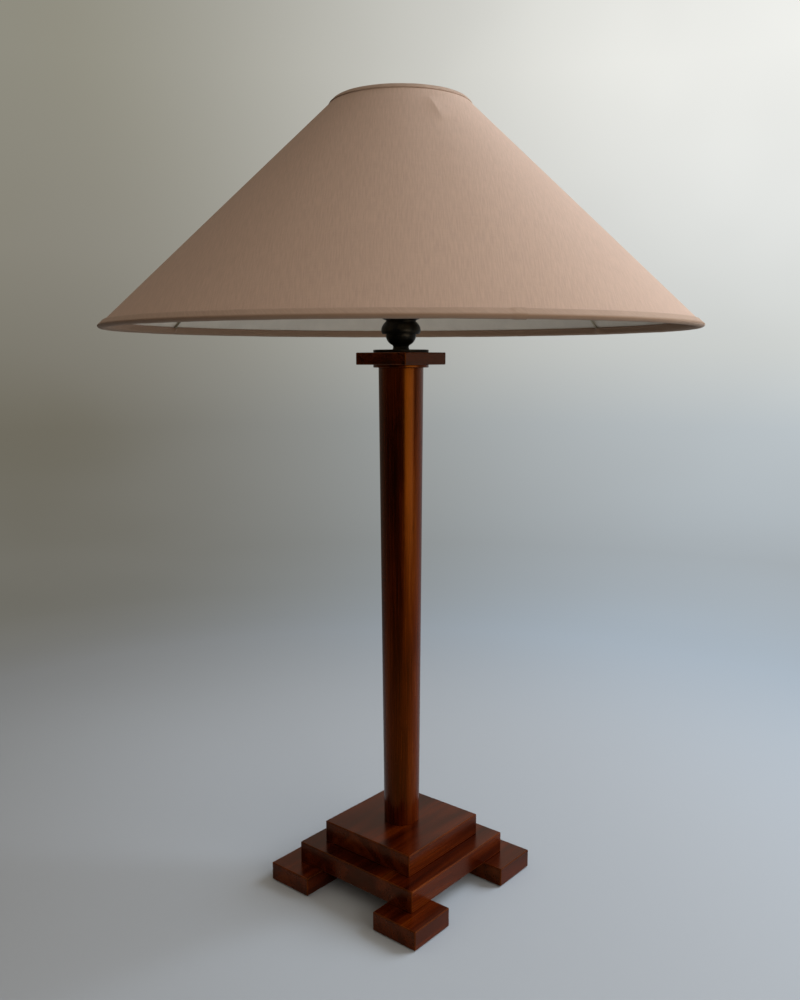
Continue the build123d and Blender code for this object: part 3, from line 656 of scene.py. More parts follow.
def slab(node, seed, holes, cell=GRID_CELL):
    """A wooden slab in a node's box, with eased edges that wear has softened unevenly.
    A hole is (x, y, lowest, highest, radius), with a second radius for its top if it tapers."""
    low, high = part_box(node)
    centre, half = (low + high) / 2, (high - low) / 2
    lines = [axis_lines(half[i], cell) for i in range(3)]
    index, verts, faces = {}, [], []

    def corner(key):
        if key not in index:
            at = Vector([line[k] for line, k in zip(lines, key)])
            core = Vector([max(-half[a] + EDGE_EASE, min(half[a] - EDGE_EASE, at[a])) for a in range(3)])
            out = (at - core).normalized()
            rounding = 1 - max(abs(c) for c in out)
            loss = EDGE_WEAR * rounding * (1 + noise.noise((core + centre) * WEAR_SCALE)) * 2
            index[key] = len(verts)
            verts.append(centre + core + out * (EDGE_EASE - loss))
        return index[key]

    sizes = [len(line) - 1 for line in lines]
    for axis, (u, v) in enumerate(((1, 2), (2, 0), (0, 1))):
        for level, a, b in product((0, sizes[axis]), range(sizes[u]), range(sizes[v])):
            loop = []
            for da, db in ((0, 0), (1, 0), (1, 1), (0, 1)):
                key = [level] * 3
                key[u], key[v] = a + da, b + db
                loop.append(corner(tuple(key)))
            faces.append(loop if level else loop[::-1])
    piece = piece_from(node + "_wood", verts, faces, mahogany(node, seed), node)
    for hole in holes:
        drill(piece, *hole)


def foot_spots(side_x, side_y):
    """Where the two screws of a foot stand."""
    near, far = FOOT_SCREW_NEAR, FOOT_SCREW_FAR
    return [(side_x * near, side_y * far), (side_x * far, side_y * near)]


def screw_holes(spots, level, node):
    """The holes for shanks that start at a level, and countersinks where their heads lie in the node."""
    _, low, high = extent(node)
    shank = SCREW_SHANK_RADIUS + SCREW_GAP
    holes = [(x, y, max(low - MM, level), min(high + MM, level + SCREW_LENGTH), shank) for x, y in spots]
    if level > low - MM:
        head = SCREW_HEAD_RADIUS + SCREW_GAP
        flare = (head - shank) / SCREW_HEAD_DEPTH
        holes += [(x, y, level - MM, level + SCREW_HEAD_DEPTH, head + flare * MM, shank) for x, y in spots]
    return holes


def make_wood():
    foot_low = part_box("foot_front_left")[0].z
    _, plinth_low, plinth_high = extent("plinth")
    _, block_low, block_high = extent("block")
    _, column_low, column_high = extent("column")
    _, abacus_low, abacus_high = extent("abacus")
    collar_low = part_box("collar")[0].z
    washer_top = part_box("tube_washer")[1].z

    for seed, (corner, sides) in enumerate(FEET.items(), start=11):
        node = "foot_" + corner
        slab(node, seed, screw_holes(foot_spots(*sides), foot_low, node))
    slab("plinth", 21, (
        (0, 0, plinth_low - OVERSHOOT, washer_top, NUT_RECESS_RADIUS),
        (0, 0, washer_top - MM, plinth_high + OVERSHOOT, TUBE_WAY_RADIUS),
        *screw_holes([spot for sides in FEET.values() for spot in foot_spots(*sides)], foot_low, "plinth"),
        *screw_holes(BLOCK_SPOTS, plinth_low, "plinth"),
    ))
    slab("block", 22, (
        (0, 0, column_low, block_high + OVERSHOOT, SPIGOT_RADIUS),
        (0, 0, block_low - OVERSHOOT, column_low + MM, TUBE_WAY_RADIUS),
        *screw_holes(BLOCK_SPOTS, plinth_low, "block"),
    ))
    slab("abacus", 23, (
        (0, 0, abacus_low - OVERSHOOT, column_high, SPIGOT_RADIUS),
        (0, 0, column_high - MM, abacus_high + OVERSHOOT, TUBE_WAY_RADIUS),
    ), cell=5 * MM)
    turned("collar", "wood", eased(box_cut("collar", SPIGOT_RADIUS), 0.7 * MM), mahogany("collar", 24), 160)
    turned("column", "wood", densified(eased([
        (TUBE_WAY_RADIUS, column_low), (SPIGOT_RADIUS, column_low),
        (SPIGOT_RADIUS, block_high), (COLUMN_FOOT_RADIUS, block_high),
        (COLUMN_HEAD_RADIUS, collar_low), (SPIGOT_RADIUS, collar_low),
        (SPIGOT_RADIUS, column_high), (TUBE_WAY_RADIUS, column_high),
    ], 0.6 * MM), 12 * MM), mahogany("column", 25, "Z", 0.03, 0.20), 192)


# -------- hardware
SLOT_WIDTH = 1.1 * MM
SLOT_DEPTH = 0.9 * MM
FELT_SIDE = 49.0 * MM
FELT_EDGE = ((0.0, 0.75), (0.22, 0.4), (0.6, 0.3), (0.9, 0.42), (1.0, 0.6))
FELT_SQUARENESS = 26
FRAY_WAVES = (17, 29, 53, 71, 97)
FRAY_DEPTH = 0.06 * MM
THREAD_GAP_RADIUS = 5.05 * MM
NUT_ACROSS = 14.0 * MM
TUBE_PITCH = 1.0 * MM
TUBE_BORE_RADIUS = 4.0 * MM
BUSH_BORE_RADIUS = 3.4 * MM
BUSH_NECK_RADIUS = 3.95 * MM
SHELL_RADIUS = 16.2 * MM
SHELL_WALL = 0.9 * MM
SHELL_PITCH = 2.0 * MM
EDISON_PITCH = 3.63 * MM
HARP_FOOT = 30.0 * MM
SLEEVE_BORE_RADIUS = 1.65 * MM
STUD_RADIUS = 3.1 * MM
STUD_PITCH = 0.94 * MM
STUD_LENGTH = 14.0 * MM
FINIAL_CURVE = [
    (7.0, 0.3), (7.0, 1.9), (6.6, 2.3), (5.6, 2.6), (5.0, 3.1), (4.7, 3.8), (4.8, 4.5), (5.4, 4.9),
    (5.8, 5.3), (5.8, 5.8), (5.3, 6.2), (4.9, 6.6), (5.2, 7.3), (6.1, 8.6), (6.9, 10.1), (7.4, 11.8),
    (7.5, 13.3), (7.2, 15.0), (6.4, 16.8), (5.1, 18.2), (3.6, 19.1), (2.5, 19.5), (2.2, 19.9),
    (2.1, 20.4), (1.6, 20.8), (0.8, 21.0),
]


def slotted_screws(node, spots, level, seed):
    """Countersunk wood screws that point up, with a driver's slot in each head."""
    rng = np.random.default_rng(seed)
    head, shank = SCREW_HEAD_RADIUS, SCREW_SHANK_RADIUS
    line = [(0, 0), (head - 0.25 * MM, 0), (head, 0.12 * MM), (head - 0.1 * MM, 0.35 * MM),
            (shank, SCREW_HEAD_DEPTH), (shank, SCREW_LENGTH * 0.4)]
    line += [(shank * (0.82 if k % 2 else 1.0), SCREW_LENGTH * (0.4 + 0.02 * k)) for k in range(1, 26)]
    line += [(0, SCREW_LENGTH)]
    screw = in_scene("screw", outward_mesh("screw", *revolved(line, 40)))
    builder = bmesh.new()
    bmesh.ops.create_cube(builder, size=1)
    bmesh.ops.scale(builder, vec=(head * 3, SLOT_WIDTH, 2 * SLOT_DEPTH), verts=builder.verts)
    cut_with(screw, builder)
    points = [vert.co.copy() for vert in screw.data.vertices]
    polygons = [tuple(polygon.vertices) for polygon in screw.data.polygons]
    bpy.data.objects.remove(screw)
    screws = []
    for spot in spots:
        place = Matrix.Translation((*spot, level)) @ Matrix.Rotation(rng.uniform(0, TURN), 4, "Z")
        screws.append(([place @ point for point in points], polygons))
    piece_from(node + "_slotted", *joined(screws), STEEL, node)


def felt_pads():
    """Four square felt pads: corners rounded by the scissors, edges that fray a little."""
    out, low, high = extent("felt_pads")
    reach = out - FELT_SIDE / 2
    thick = high - low
    edge = [(FELT_SIDE / 2 - inset * MM, low + share * thick) for share, inset in FELT_EDGE]
    rng = np.random.default_rng(61)
    pads = []
    for centre in product((-reach, reach), repeat=2):
        relief = squared(FELT_SQUARENESS, FRAY_DEPTH, list(zip(FRAY_WAVES, rng.uniform(0, TURN, 5))))
        pads.append(revolved([(0, low), *edge, (0, high)], 240, relief, centre))
    piece_from("felt_pads_cut", *joined(pads), FELT, "felt_pads", sharp=25)


def make_base_hardware():
    slotted_screws("block_screws", BLOCK_SPOTS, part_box("plinth")[0].z, 71)
    spots = [spot for sides in sorted(FEET.values()) for spot in foot_spots(*sides)]
    slotted_screws("foot_screws", spots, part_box("foot_screws")[0].z, 72)
    felt_pads()

    turned("tube_washer", "disc", eased(box_cut("tube_washer", THREAD_GAP_RADIUS), 0.35 * MM), STEEL, 72)
    out, low, high = extent("tube_nut")
    turned("tube_nut", "hex", [
        *upright(out, low, high, 0.3 * MM),
        (THREAD_GAP_RADIUS + 0.4 * MM, high), (THREAD_GAP_RADIUS, high - 0.3 * MM),
        (THREAD_GAP_RADIUS, low + 0.3 * MM), (THREAD_GAP_RADIUS + 0.4 * MM, low),
    ], STEEL, 144, hexagonal(NUT_ACROSS, low, high, 6.5 * MM), sharp=25)

    out, low, high = extent("threaded_tube")
    fine = 0.16 * MM
    turned("threaded_tube", "cut", [
        *upright(out, low, low + 13 * MM, fine),
        *upright(out, low + 30 * MM, high - 20 * MM, 60 * MM),
        *upright(out, high - 10 * MM, high, fine),
        (TUBE_BORE_RADIUS, high), (TUBE_BORE_RADIUS, low),
    ], STEEL, 64, together(
        ribbed_thread(TUBE_PITCH, 0.5 * MM, low - MM, low + 13 * MM, 0.8 * MM, 4.5 * MM),
        ribbed_thread(TUBE_PITCH, 0.5 * MM, high - 9 * MM, high + MM, 0.8 * MM, 4.5 * MM),
    ), sharp=45)

    out, low, high = extent("cable_bush")
    lip = low + 2 * MM
    turned("cable_bush", "lipped", eased([
        (BUSH_BORE_RADIUS, low), (out, low), (out, lip), (BUSH_NECK_RADIUS, lip),
        (BUSH_NECK_RADIUS, high), (BUSH_BORE_RADIUS, high),
    ], 0.6 * MM, 6), BLACK_PLASTIC, 72,
        knurled(24, 0.25 * MM, low + 0.4 * MM, low + 1.7 * MM, 0.3 * MM, 5.6 * MM))


def make_lampholder():
    out, low, high = extent("plate")
    turned("plate", "disc", eased([
        (TUBE_WAY_RADIUS, low), (out, low), (out, high),
        *in_mm(high, (25.2, 0), (24.8, -0.35), (24.0, -0.35), (23.6, 0)), (TUBE_WAY_RADIUS, high),
    ], 1.1 * MM, 6), BRONZE, 160)

    out, low, high = extent("holder_shell")
    bore, foot = SHELL_RADIUS - SHELL_WALL, low + 1.2 * MM
    turned("holder_shell", "threaded", [
        (bore, low), (out - 0.3 * MM, low), (out, low + 0.3 * MM), (out, foot),
        *upright(SHELL_RADIUS, foot, high - 0.4 * MM, 0.22 * MM),
        (SHELL_RADIUS - 0.35 * MM, high), (bore, high),
    ], BRONZE, 128,
        ribbed_thread(SHELL_PITCH, 0.5 * MM, foot + 5.5 * MM, high + MM, 2.0 * MM, bore + 0.4 * MM),
        sharp=40)

    bore = SHELL_RADIUS + 0.05 * MM
    out, low, high = extent("shade_ring_lower")
    edge = high - 1.6 * MM
    turned("shade_ring_lower", "rim", densified(eased([
        (bore, high), (bore, low), (out, edge), (out, high),
    ], 0.35 * MM), 0.5 * MM), BRONZE, 360,
        knurled(90, 0.12 * MM, edge, high, 0.4 * MM, out - 0.3 * MM))
    out, low, high = extent("shade_ring_upper")
    turned("shade_ring_upper", "knurled",
           densified(eased(box_cut("shade_ring_upper", bore), 0.8 * MM), 0.5 * MM), BRONZE, 432,
           knurled(72, 0.35 * MM, low + 0.5 * MM, high - 0.5 * MM, 0.7 * MM, out - MM))

    out, low, high = extent("bulb_cap")
    skirt = high - 4.5 * MM
    turned("bulb_cap", "threaded", [
        *in_mm(low, (10.6, 0), (11.0, 0), (11.9, 0.5), (12.7, 1.4)),
        *upright(out, low + 2.2 * MM, high, 0.25 * MM),
        (out - 0.5 * MM, high), (11.7 * MM, skirt), *in_mm(low, (11.7, 1.8), (10.6, 0.6)),
    ], ALUMINIUM, 128,
        ribbed_thread(EDISON_PITCH, 1.0 * MM, low + 1.2 * MM, skirt + MM, 1.4 * MM, 12.5 * MM),
        body="bulb", sharp=45)


def make_harp_fittings():
    for side, place in (("left", -HARP_FOOT), ("right", HARP_FOOT)):
        out, low, high = extent("harp_sleeve_" + side)
        outline = densified(eased([
            (SLEEVE_BORE_RADIUS, low), *in_mm(low, (3.0, 0), (3.0, 7), (2.65, 7.6)),
            *in_mm(high, (2.65, -2.2), (3.0, -1.8), (3.0, 0)), (SLEEVE_BORE_RADIUS, high),
        ], 0.35 * MM), 0.25 * MM)
        rings = grooved([low + k * 1.6 * MM for k in (1, 2, 3)], 0.28 * MM, 0.3 * MM, 2.5 * MM)
        turned("harp_sleeve_" + side, "grooved", outline, HARP_BRASS, 64, rings, (place, 0),
               body="sleeve_" + side)

    out, low, high = extent("harp_seat")
    seat = high - STUD_LENGTH
    turned("harp_seat", "stud", [
        (0, low), *in_mm(low, (4.0, 0), (4.5, 0.5)), *in_mm(seat, (4.5, -2.4), (5.0, -2.0)),
        (out - 0.5 * MM, seat - 2.0 * MM), *upright(out, seat - 1.7 * MM, seat - 0.3 * MM, 0.2 * MM),
        (out - 0.4 * MM, seat), (STUD_RADIUS + 0.2 * MM, seat), (STUD_RADIUS, seat + 0.2 * MM),
        *upright(STUD_RADIUS, seat + 0.4 * MM, high - 0.6 * MM, 0.14 * MM),
        (STUD_RADIUS - 0.5 * MM, high), (0, high),
    ], HARP_BRASS, 144, together(
        knurled(48, 0.3 * MM, seat - 1.8 * MM, seat - 0.2 * MM, 0.3 * MM, out - 0.6 * MM),
        ribbed_thread(STUD_PITCH, 0.45 * MM, seat + 0.6 * MM, high + MM, 0.5 * MM, 2.8 * MM),
    ), sharp=40)

    out, low, high = extent("finial")
    bore = low + STUD_LENGTH - 0.8 * MM
    turned("finial", "turned", [
        (0, bore), (STUD_RADIUS + 0.05 * MM, bore), (STUD_RADIUS + 0.05 * MM, low), (6.7 * MM, low),
        *in_mm(low, *smoothed(FINIAL_CURVE, 3)), (0, high),
    ], BRONZE, 144, knurled(56, 0.3 * MM, low + 0.1 * MM, low + 2.1 * MM, 0.5 * MM, 6.55 * MM),
        body="finial", sharp=38)


# -------- shade
# Distances out from the slope's face are negative inside it.
SHADE_RIM_RADIUS = 307.0 * MM
SHADE_TOP_RADIUS = 72.75 * MM
TRIM_SKIN = 1.0 * MM
COVER_OUTSIDE = -1.15 * MM
COVER_INSIDE = -2.05 * MM
LINING_INSIDE = -2.55 * MM
WIRE_LINE = -4.3 * MM
TRIM_INSIDE = -7.3 * MM
ROLL_RADIUS = -TRIM_INSIDE / 2
SHADE_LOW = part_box("bottom_trim")[0].z
SHADE_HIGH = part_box("top_trim")[1].z
SLOPE_RUN = SHADE_RIM_RADIUS - SHADE_TOP_RADIUS
SLOPE_RISE = SHADE_HIGH - SHADE_LOW - 2 * ROLL_RADIUS
SLOPE_LENGTH = math.hypot(SLOPE_RUN, SLOPE_RISE) + 2 * ROLL_RADIUS
UP_SLOPE = Vector((-SLOPE_RUN, SLOPE_RISE)).normalized()
OFF_SLOPE = Vector((SLOPE_RISE, SLOPE_RUN)).normalized()
SLOPE_ORIGIN = (Vector((SHADE_RIM_RADIUS - ROLL_RADIUS, SHADE_LOW + ROLL_RADIUS))
                + (OFF_SLOPE - UP_SLOPE) * ROLL_RADIUS)
CONE_SHARE = SLOPE_RUN / math.hypot(SLOPE_RUN, SLOPE_RISE)
FACING = math.atan2(TOWARD_CAMERA.y, TOWARD_CAMERA.x)
STRUT_ANGLE = 75 * DEGREE
STRUT_COUNT = 3

WELD_ALONG = 2.3 * MM
BEAD_RADII = Vector((2.1, 2.1, 1.6)) * MM
BEAD_LUMPS = 0.22

COVER_LAP = 2.4 * DEGREE
LINING_LAP = COVER_LAP * 0.8
LINING_TURN = 8 * DEGREE
COVER_CLOTH = 0.45 * MM
LAP_LIFT = 0.5 * MM
SAG = 0.16 * MM
CREASE_ANGLE = 19.6 * DEGREE
CREASE_UP = 289.0 * MM
CREASE_HEIGHT = 1.5 * MM
CREASE_HALF_LENGTH = 22 * MM
CREASE_LEAN = 4.5 * DEGREE
CREASE_LEFT = 9 * MM
CREASE_RIGHT = 12 * MM
CREASE_CREST = 0.5 * MM
CREASE_STOP = 10 * MM
CREASE_FADE = 8 * MM
CREASE_ZONE = 60 * MM
CREASE_SECTOR = 0.5

BOTTOM_BAND = 7.5 * MM
BOTTOM_RETURN = 10.4 * MM
BOTTOM_FOLD_END = 3.9 * MM
TOP_BAND = 7.5 * MM
TOP_RETURN = 5.5 * MM
PUCKER_LENGTH = 8 * MM
PUCKER_DEPTH = 0.10 * MM
SLOW_WAVE = 0.06 * MM
EDGE_CURL, CURL_WIDTH = 0.25 * MM, 0.7 * MM
EDGE_ROUND, ROUND_WIDTH = 0.45 * MM, 0.18 * MM
STRUT_LIFT, STRUT_SPREAD = 2.6 * MM, 3.2 * MM
STRUT_FROM_END, STRUT_FADE = 7 * MM, 4 * MM
BOTTOM_FOLD = (
    (0.7, 4.65), (1.5, 4.0), (1.9, 3.4), (1.85, 2.75), (1.4, 1.9), (0.6, 1.15), (-0.5, 0.6),
    (-1.9, 0.35), (-3.3, 0.35), (-4.6, 0.65), (-5.7, 1.1), (-6.4, 1.6),
)
TOP_FOLD = (
    (2.2, 0.0), (1.0, -0.45), (0.25, -1.3), (0.0, -2.5), (0.05, -4.2), (0.5, -5.7), (1.5, -6.8), (3.0, -7.2),
)


def on_slope(up, out):
    """(radius, z) of a point on the shade's cut: up along the slope from its rim, and outward."""
    return SLOPE_ORIGIN + UP_SLOPE * up + OFF_SLOPE * out


def weld_beads():
    """Small brazed lumps where the struts and spider arms meet the shade's wires and washer."""
    ring_low = on_slope(ROLL_RADIUS, WIRE_LINE)
    ring_high = on_slope(SLOPE_LENGTH - ROLL_RADIUS, WIRE_LINE)
    welds = (
        ring_low + UP_SLOPE * WELD_ALONG,
        ring_high - UP_SLOPE * WELD_ALONG,
        ring_high - Vector((2.5 * MM, 0.9 * MM)),
        Vector((13.4 * MM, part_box("spider")[0].z + 1.4 * MM)),
    )
    builder = bmesh.new()
    bmesh.ops.create_icosphere(builder, subdivisions=3, radius=1.0)
    builder.verts.index_update()
    ball = [vert.co.copy() for vert in builder.verts]
    polygons = [tuple(vert.index for vert in face.verts) for face in builder.faces]
    builder.free()
    beads = []
    for k, at in product(range(STRUT_COUNT), welds):
        angle = STRUT_ANGLE + k * TURN / STRUT_COUNT
        spot = Vector((at.x * math.cos(angle), at.x * math.sin(angle), at.y))
        beads.append(([
            spot + point * BEAD_RADII * (1 + BEAD_LUMPS * noise.noise(point * 1.6 + spot * 900))
            for point in ball
        ], polygons))
    piece_from("weld_beads", *joined(beads), WIRE, body="shade", sharp=60)


def outline_normals(points):
    """The unit vector to the left of an open line of points, at each point."""
    along = np.gradient(points, axis=0)
    along /= np.linalg.norm(along, axis=1)[:, None]
    return np.stack([-along[:, 1], along[:, 0]], axis=1)


def band(name, node, outside, inside, angles, finish, push, flat_map):
    """A strip of cloth or film bent round the axis: its outside and inside lines swept over the
    angles, with closed ends. push moves each point along the outside line's normal."""
    normal = outline_normals(outside)
    count, turns = len(outside), len(angles)
    ring = np.concatenate([outside, inside[::-1]])
    normals = np.concatenate([normal, normal[::-1]])
    shift = np.concatenate([push, push[:, ::-1]], axis=1)
    radius, height = (ring[:, k] + shift * normals[:, k] for k in (0, 1))
    size = 2 * count
    faces = quads(turns, size, rows_closed=False)
    for start in (0, (turns - 1) * size):
        faces += [(start + k, start + k + 1, start + size - 2 - k, start + size - 1 - k)
                  for k in range(count - 1)]
    uv = np.concatenate([flat_map, flat_map[:, ::-1]], axis=1).reshape(-1, 2)
    verts = swept(radius, height, angles[:, None])
    return piece_from(name, verts, faces, finish, node, "shade", flat_map=uv, sharp=60)


def ripple(angles, waves, seed):
    """A smooth uneven wave round the axis, between about -1 and 1."""
    rng = np.random.default_rng(seed)
    total = sum(rng.uniform(0.4, 1.0) * np.sin(n * angles + rng.uniform(0, TURN)) for n in waves)
    return total / math.sqrt(len(waves))


def overlap_lift(angles, lap, lift):
    """How far the last stretch of a strip lies proud, where it laps over the strip's start."""
    left = angles[-1] - angles
    return lift * np.clip((lap - left) / (0.35 * lap) + 0.35, 0, 1)


def crease(across, up):
    """The small crease near the top edge: a low ridge with a sharp crest, whose sides die away."""
    a = (across - CREASE_ANGLE) * (SLOPE_LENGTH - CREASE_UP + SHADE_TOP_RADIUS / CONE_SHARE) * CONE_SHARE
    b = up - CREASE_UP
    along = b * math.cos(CREASE_LEAN) - a * math.sin(CREASE_LEAN)
    off = a * math.cos(CREASE_LEAN) + b * math.sin(CREASE_LEAN)
    reach = np.clip(1 - (along / CREASE_HALF_LENGTH) ** 2, 0, 1)
    side = np.sqrt(off ** 2 + CREASE_CREST ** 2) - CREASE_CREST
    fold = np.exp(-side / np.where(off > 0, CREASE_RIGHT, CREASE_LEFT))
    return CREASE_HEIGHT * reach * fold * np.clip((SLOPE_LENGTH - CREASE_STOP - up) / CREASE_FADE, 0, 1)


def make_shade_skins():
    """The cover and the lining. Gives the cover and how far its rows lie from the cone's apex."""
    low, high = ROLL_RADIUS, SLOPE_LENGTH - ROLL_RADIUS
    up = np.concatenate([
        np.linspace(low, high - CREASE_ZONE, 34)[:-1],
        np.linspace(high - CREASE_ZONE, high, 46),
    ])
    local = np.concatenate([
        np.linspace(-math.pi, CREASE_ANGLE - CREASE_SECTOR, 220)[:-1],
        np.linspace(CREASE_ANGLE - CREASE_SECTOR, CREASE_ANGLE + CREASE_SECTOR, 150)[:-1],
        np.linspace(CREASE_ANGLE + CREASE_SECTOR, math.pi, 200)[:-1],
        np.linspace(math.pi, math.pi + COVER_LAP, 12),
    ])
    outside, inside = (np.array([on_slope(u, out) for u in up]) for out in (COVER_OUTSIDE, COVER_INSIDE))
    sag = SAG * ripple(local, (7, 11, 16, 23), 5)[:, None] * np.sin((up - low) / (high - low) * math.pi)
    push = sag + overlap_lift(local, COVER_LAP, COVER_CLOTH)[:, None] + crease(local[:, None], up)
    from_apex = outside[:, 0] / CONE_SHARE
    flat_angle = local[:, None] * CONE_SHARE
    flat_map = np.stack([from_apex * np.sin(flat_angle), -from_apex * np.cos(flat_angle)], axis=2)
    cover = band("cover_linen", "shade_cover", outside, inside, local + FACING, LINEN, -push, flat_map)

    up = up[::3]
    local = np.linspace(-math.pi, math.pi + LINING_LAP, 300) + LINING_TURN
    outside, inside = (np.array([on_slope(u, out) for u in up])
                       for out in (COVER_INSIDE - 0.02 * MM, LINING_INSIDE))
    push = crease(local[:, None], up) - overlap_lift(local, LINING_LAP, LAP_LIFT)[:, None]
    flat_map = np.stack([local[:, None] * outside[:, 0], np.tile(up, (len(local), 1))], axis=2)
    band("lining_film", "shade_lining", outside, inside, local + FACING, LINING, -push, flat_map)
    return cover, from_apex


def bottom_lines():
    """The cut of the bottom binding: down the cover, round a fold that stands a little proud, and
    up inside, over the wire and down onto the lining. Its points run from the free edge outside."""
    outside = [on_slope(up, 0) for up in np.linspace(BOTTOM_BAND, 1.6 * MM, 7)]
    outside += [Vector((SHADE_RIM_RADIUS + r * MM, SHADE_LOW + z * MM)) for r, z in BOTTOM_FOLD]
    rest = LINING_INSIDE - TRIM_SKIN - 0.05 * MM
    for share in np.linspace(0.0, 1.0, 7)[1:]:
        ease = share * share * (3 - 2 * share)
        up = BOTTOM_FOLD_END + (BOTTOM_RETURN - BOTTOM_FOLD_END) * share
        outside.append(on_slope(up, TRIM_INSIDE + (rest - TRIM_INSIDE) * ease))
    return outside


def top_lines():
    """The cut of the top binding, from its free edge outside, over the top and down inside."""
    outside = [on_slope(SLOPE_LENGTH - down, 0) for down in np.linspace(TOP_BAND, 3.2 * MM, 6)]
    outside += [on_slope(SLOPE_LENGTH - down * MM, out * MM) for down, out in TOP_FOLD]
    outside += [on_slope(SLOPE_LENGTH - down, TRIM_INSIDE) for down in np.linspace(4.2 * MM, TOP_RETURN, 3)]
    return outside


def bound_edge(end, line, width, radius, join, lap, outward, seed, around):
    """A strip of bias-cut cloth folded over the shade's edge, puckered on its roll, lapped once.
    It is joined at an angle in degrees, and laps over so many degrees more."""
    lap = lap * DEGREE
    local = join * DEGREE + np.linspace(0, TURN + lap, around)
    outside = np.array([tuple(p) for p in line])
    inside = outside - outline_normals(outside) * outward * TRIM_SKIN
    run = np.concatenate([[0], np.cumsum(np.linalg.norm(np.diff(outside, axis=0), axis=1))])
    waves = [round(radius / PUCKER_LENGTH * k) for k in (0.31, 0.53, 0.83, 1.27, 1.9)]
    pucker = ripple(local, waves, seed)[:, None] * np.clip(run / width, 0.12, 1) ** 2
    slow = ripple(local, (3, 5, 8, 13), seed + 1)[:, None]
    push = PUCKER_DEPTH * pucker + SLOW_WAVE * slow + overlap_lift(local, lap, LAP_LIFT)[:, None]
    push = push + EDGE_CURL * np.exp(-run / CURL_WIDTH) - EDGE_ROUND * np.exp(-run / ROUND_WIDTH)
    aside = np.angle(np.exp(STRUT_COUNT * 1j * (local + FACING - STRUT_ANGLE))) / STRUT_COUNT * radius
    over_wire = np.clip((run - run[-1] + STRUT_FROM_END) / STRUT_FADE, 0, 1)
    push = push + STRUT_LIFT * np.exp(-(aside / STRUT_SPREAD) ** 2)[:, None] * over_wire
    flat_map = np.stack(np.broadcast_arrays((local * radius)[:, None], run), axis=2)
    return band(end + "_binding", end + "_trim", outside, inside, local + FACING, BINDING,
                outward * push, flat_map)


# -------- stage and light
FLOOR_TONE = (0.445, 0.472, 0.500)
BLACK = (0.0, 0.0, 0.0)
CLOUD_TONE = (0.30, 0.30, 0.29)
STAGE_SIDES = 128
FLOOR_RADII = (0.002, 0.6, 1.2, 2.0)
CURVE_RADIUS = 2.0
WALL_TOP = 5.0
# painted light and shade of the glowing backdrop, from low to high, on its dim left and its pale right
PAINT_LEFT = (
    (0.0, (0.178, 0.180, 0.176)), (0.15, (0.150, 0.145, 0.123)), (0.44, (0.158, 0.146, 0.113)),
    (0.66, (0.240, 0.225, 0.182)), (0.88, (0.272, 0.260, 0.208)),
)
PAINT_RIGHT = (
    (0.0, (0.410, 0.490, 0.575)), (0.25, (0.395, 0.440, 0.475)), (0.44, (0.505, 0.555, 0.585)),
    (0.54, (0.650, 0.675, 0.660)), (0.70, (0.790, 0.805, 0.785)), (0.88, (0.930, 0.935, 0.900)),
)

# a window's name, its place to the right, toward the camera and up, its size, power and tone,
# and whether reflections show it
WINDOWS = (
    ("window", (1.70, -0.45, 1.48), (1.3, 1.5), 43.0, (0.89, 1.0, 1.13), False),
    ("window_low", (1.30, 1.35, 0.75), (1.7, 1.5), 15.5, (1.0, 0.97, 0.92), True),
)
WINDOW_TARGET = Vector((0, 0, 0.5))
SKY_TONE = (1.0, 0.87, 0.72)
SKY_HEIGHTS = (0.20, 0.62)
SKY_STRENGTHS = (0.01, 0.445)


def stage_paint():
    """The sweep: a pale floor that takes shadows near the lamp, and further out a glow of painted light
    and shade, dim on the left, pale on the right. Reflections show it too, with painted shade on the camera's
    side."""
    s = new_finish("stage")
    place = s.place()
    xyz = s.parts(place)
    far = s.hypot(xyz[0], xyz[1])
    right = s.vector_math("DOT_PRODUCT", place, CAMERA_RIGHT, "Value")
    front = s.vector_math("DOT_PRODUCT", place, TOWARD_CAMERA, "Value")
    aside = s.math("DIVIDE", right, s.math("ADD", far, CAMERA_DISTANCE))
    rise = s.math("DIVIDE", s.math("SUBTRACT", xyz[2], 0.5), s.math("MAXIMUM", far, 0.2))
    level = s.spread(rise, -0.5, 0.5, kind="LINEAR")
    paint = s.mix(s.spread(aside, -0.38, 0.42), s.ramp(level, PAINT_LEFT), s.ramp(level, PAINT_RIGHT))
    paint = s.mix(s.spread(s.noise(place, 0.9), 0.3, 0.7, 0.0, 0.10), paint, CLOUD_TONE)
    rays = s.add("LightPath", {}).outputs
    reflected = rays["Is Glossy Ray"]
    # reflections of the backdrop are painted darker on the camera's side: painted shade
    paint = s.mix(s.math("MULTIPLY", reflected, s.spread(front, -0.6, 1.0, 0.42, 0.92)), paint, BLACK)
    glow = s.add("Emission", {"Color": paint, "Strength": 1.0}).outputs[0]
    # the floor is painted darker in reflections and in the light that it bounces: painted shade
    floor = s.mix(s.weighed((rays["Is Diffuse Ray"], 0.15), (reflected, 0.32)), FLOOR_TONE, BLACK)
    s.finish(Base_Color=floor, Roughness=0.9, Specular_IOR_Level=0.0)
    seen = s.math("MAXIMUM", rays["Is Camera Ray"], s.math("MAXIMUM", reflected, rays["Is Transmission Ray"]))
    share = s.math("MULTIPLY", seen, s.spread(far, 0.32, 1.2))
    above = s.add("MixShader", {0: share, 1: s.surface.outputs[0], 2: glow}).outputs[0]
    below = s.add("NewGeometry", {}).outputs["Backfacing"]
    clear = s.add("BsdfTransparent", {}).outputs[0]
    both = s.add("MixShader", {0: below, 1: above, 2: clear}).outputs[0]
    s.put(s.tree.nodes["Material Output"].inputs["Surface"], both)
    return s.owner


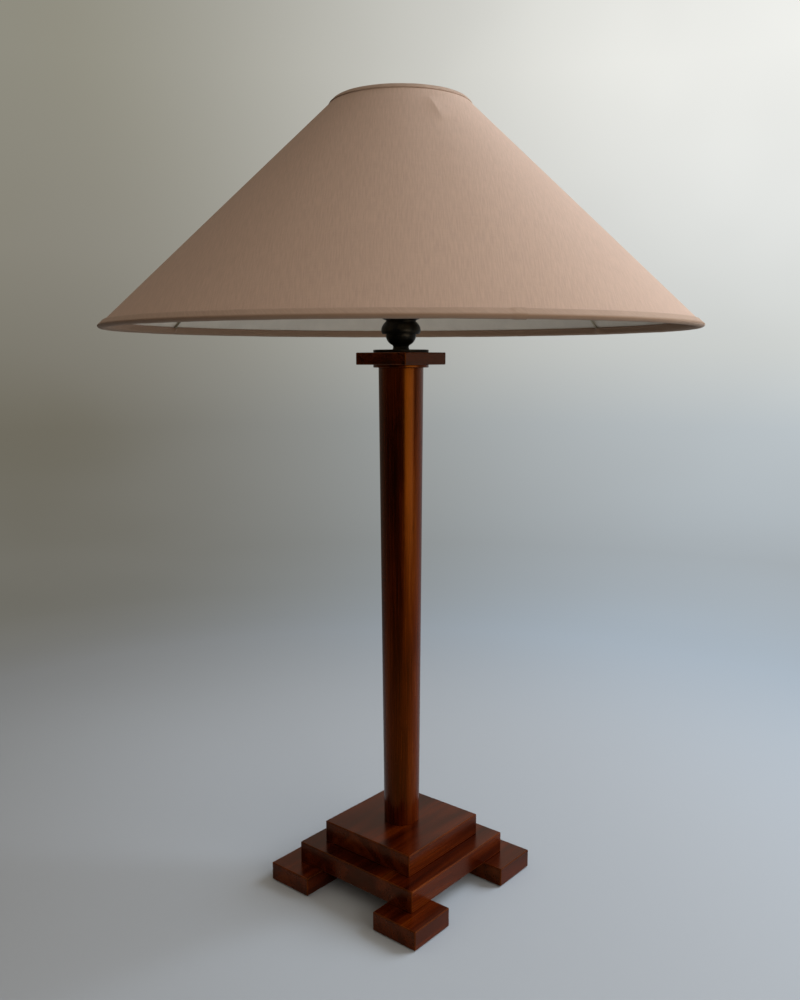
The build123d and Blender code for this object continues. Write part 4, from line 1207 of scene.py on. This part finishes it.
def stage_part(name, line, material):
    """An open surface of revolution for the stage, with its faces turned to the lamp."""
    angles = [k / STAGE_SIDES * TURN for k in range(STAGE_SIDES)]
    verts = [(r * math.cos(a), r * math.sin(a), height) for r, height in line for a in angles]
    faces = quads(len(line), STAGE_SIDES, rows_closed=False)
    if line[0][0] < 0.01:
        faces.append(tuple(range(STAGE_SIDES)))
    mesh = bpy.data.meshes.new(name)
    mesh.from_pydata(verts, [], faces)
    mesh.shade_smooth()
    mesh.materials.append(material)
    part = in_scene(name, mesh)
    return part


def make_stage():
    paint = stage_paint()
    stage_part("floor", [(radius, 0) for radius in FLOOR_RADII], paint)
    curve = [(FLOOR_RADII[-1] + CURVE_RADIUS * math.sin(a), CURVE_RADIUS * (1 - math.cos(a)))
             for a in np.radians(np.arange(0, 91, 5))]
    wall = stage_part("backdrop", curve + [(FLOOR_RADII[-1] + CURVE_RADIUS, WALL_TOP)], paint)
    wall.visible_diffuse = False
    wall.visible_shadow = False


def make_light():
    for name, (right, toward, up), size, power, tone, reflected in WINDOWS:
        lamp = bpy.data.lights.new(name, "AREA")
        lamp.shape = "RECTANGLE"
        lamp.size, lamp.size_y = size
        lamp.energy = power
        lamp.color = tone
        light = in_scene(name, lamp)
        light.location = CAMERA_RIGHT * right + TOWARD_CAMERA * toward + Vector((0, 0, up))
        light.rotation_euler = (WINDOW_TARGET - light.location).to_track_quat("-Z", "Y").to_euler()
        light.visible_glossy = reflected
    world = bpy.data.worlds.new("world")
    bpy.context.scene.world = world
    s = Shader(world, "Background")
    height = s.parts(s.place("Generated"))[2]
    s.finish(Color=SKY_TONE, Strength=s.spread(height, *SKY_HEIGHTS, *SKY_STRENGTHS, kind="LINEAR"))


# -------- all together
bpy.context.scene.view_settings.view_transform = "Standard"
make_camera()
make_stage()
make_light()
dress_nodes()
make_wood()
make_base_hardware()
make_lampholder()
make_harp_fittings()
weld_beads()
cover, from_apex = make_shade_skins()
bottom_binding = bound_edge("bottom", bottom_lines(), BOTTOM_BAND, SHADE_RIM_RADIUS, join=16.0, lap=2.2,
                            outward=1, seed=31, around=1500)
top_binding = bound_edge("top", top_lines(), TOP_BAND, SHADE_TOP_RADIUS, join=148, lap=6.0,
                         outward=-1, seed=41, around=500)
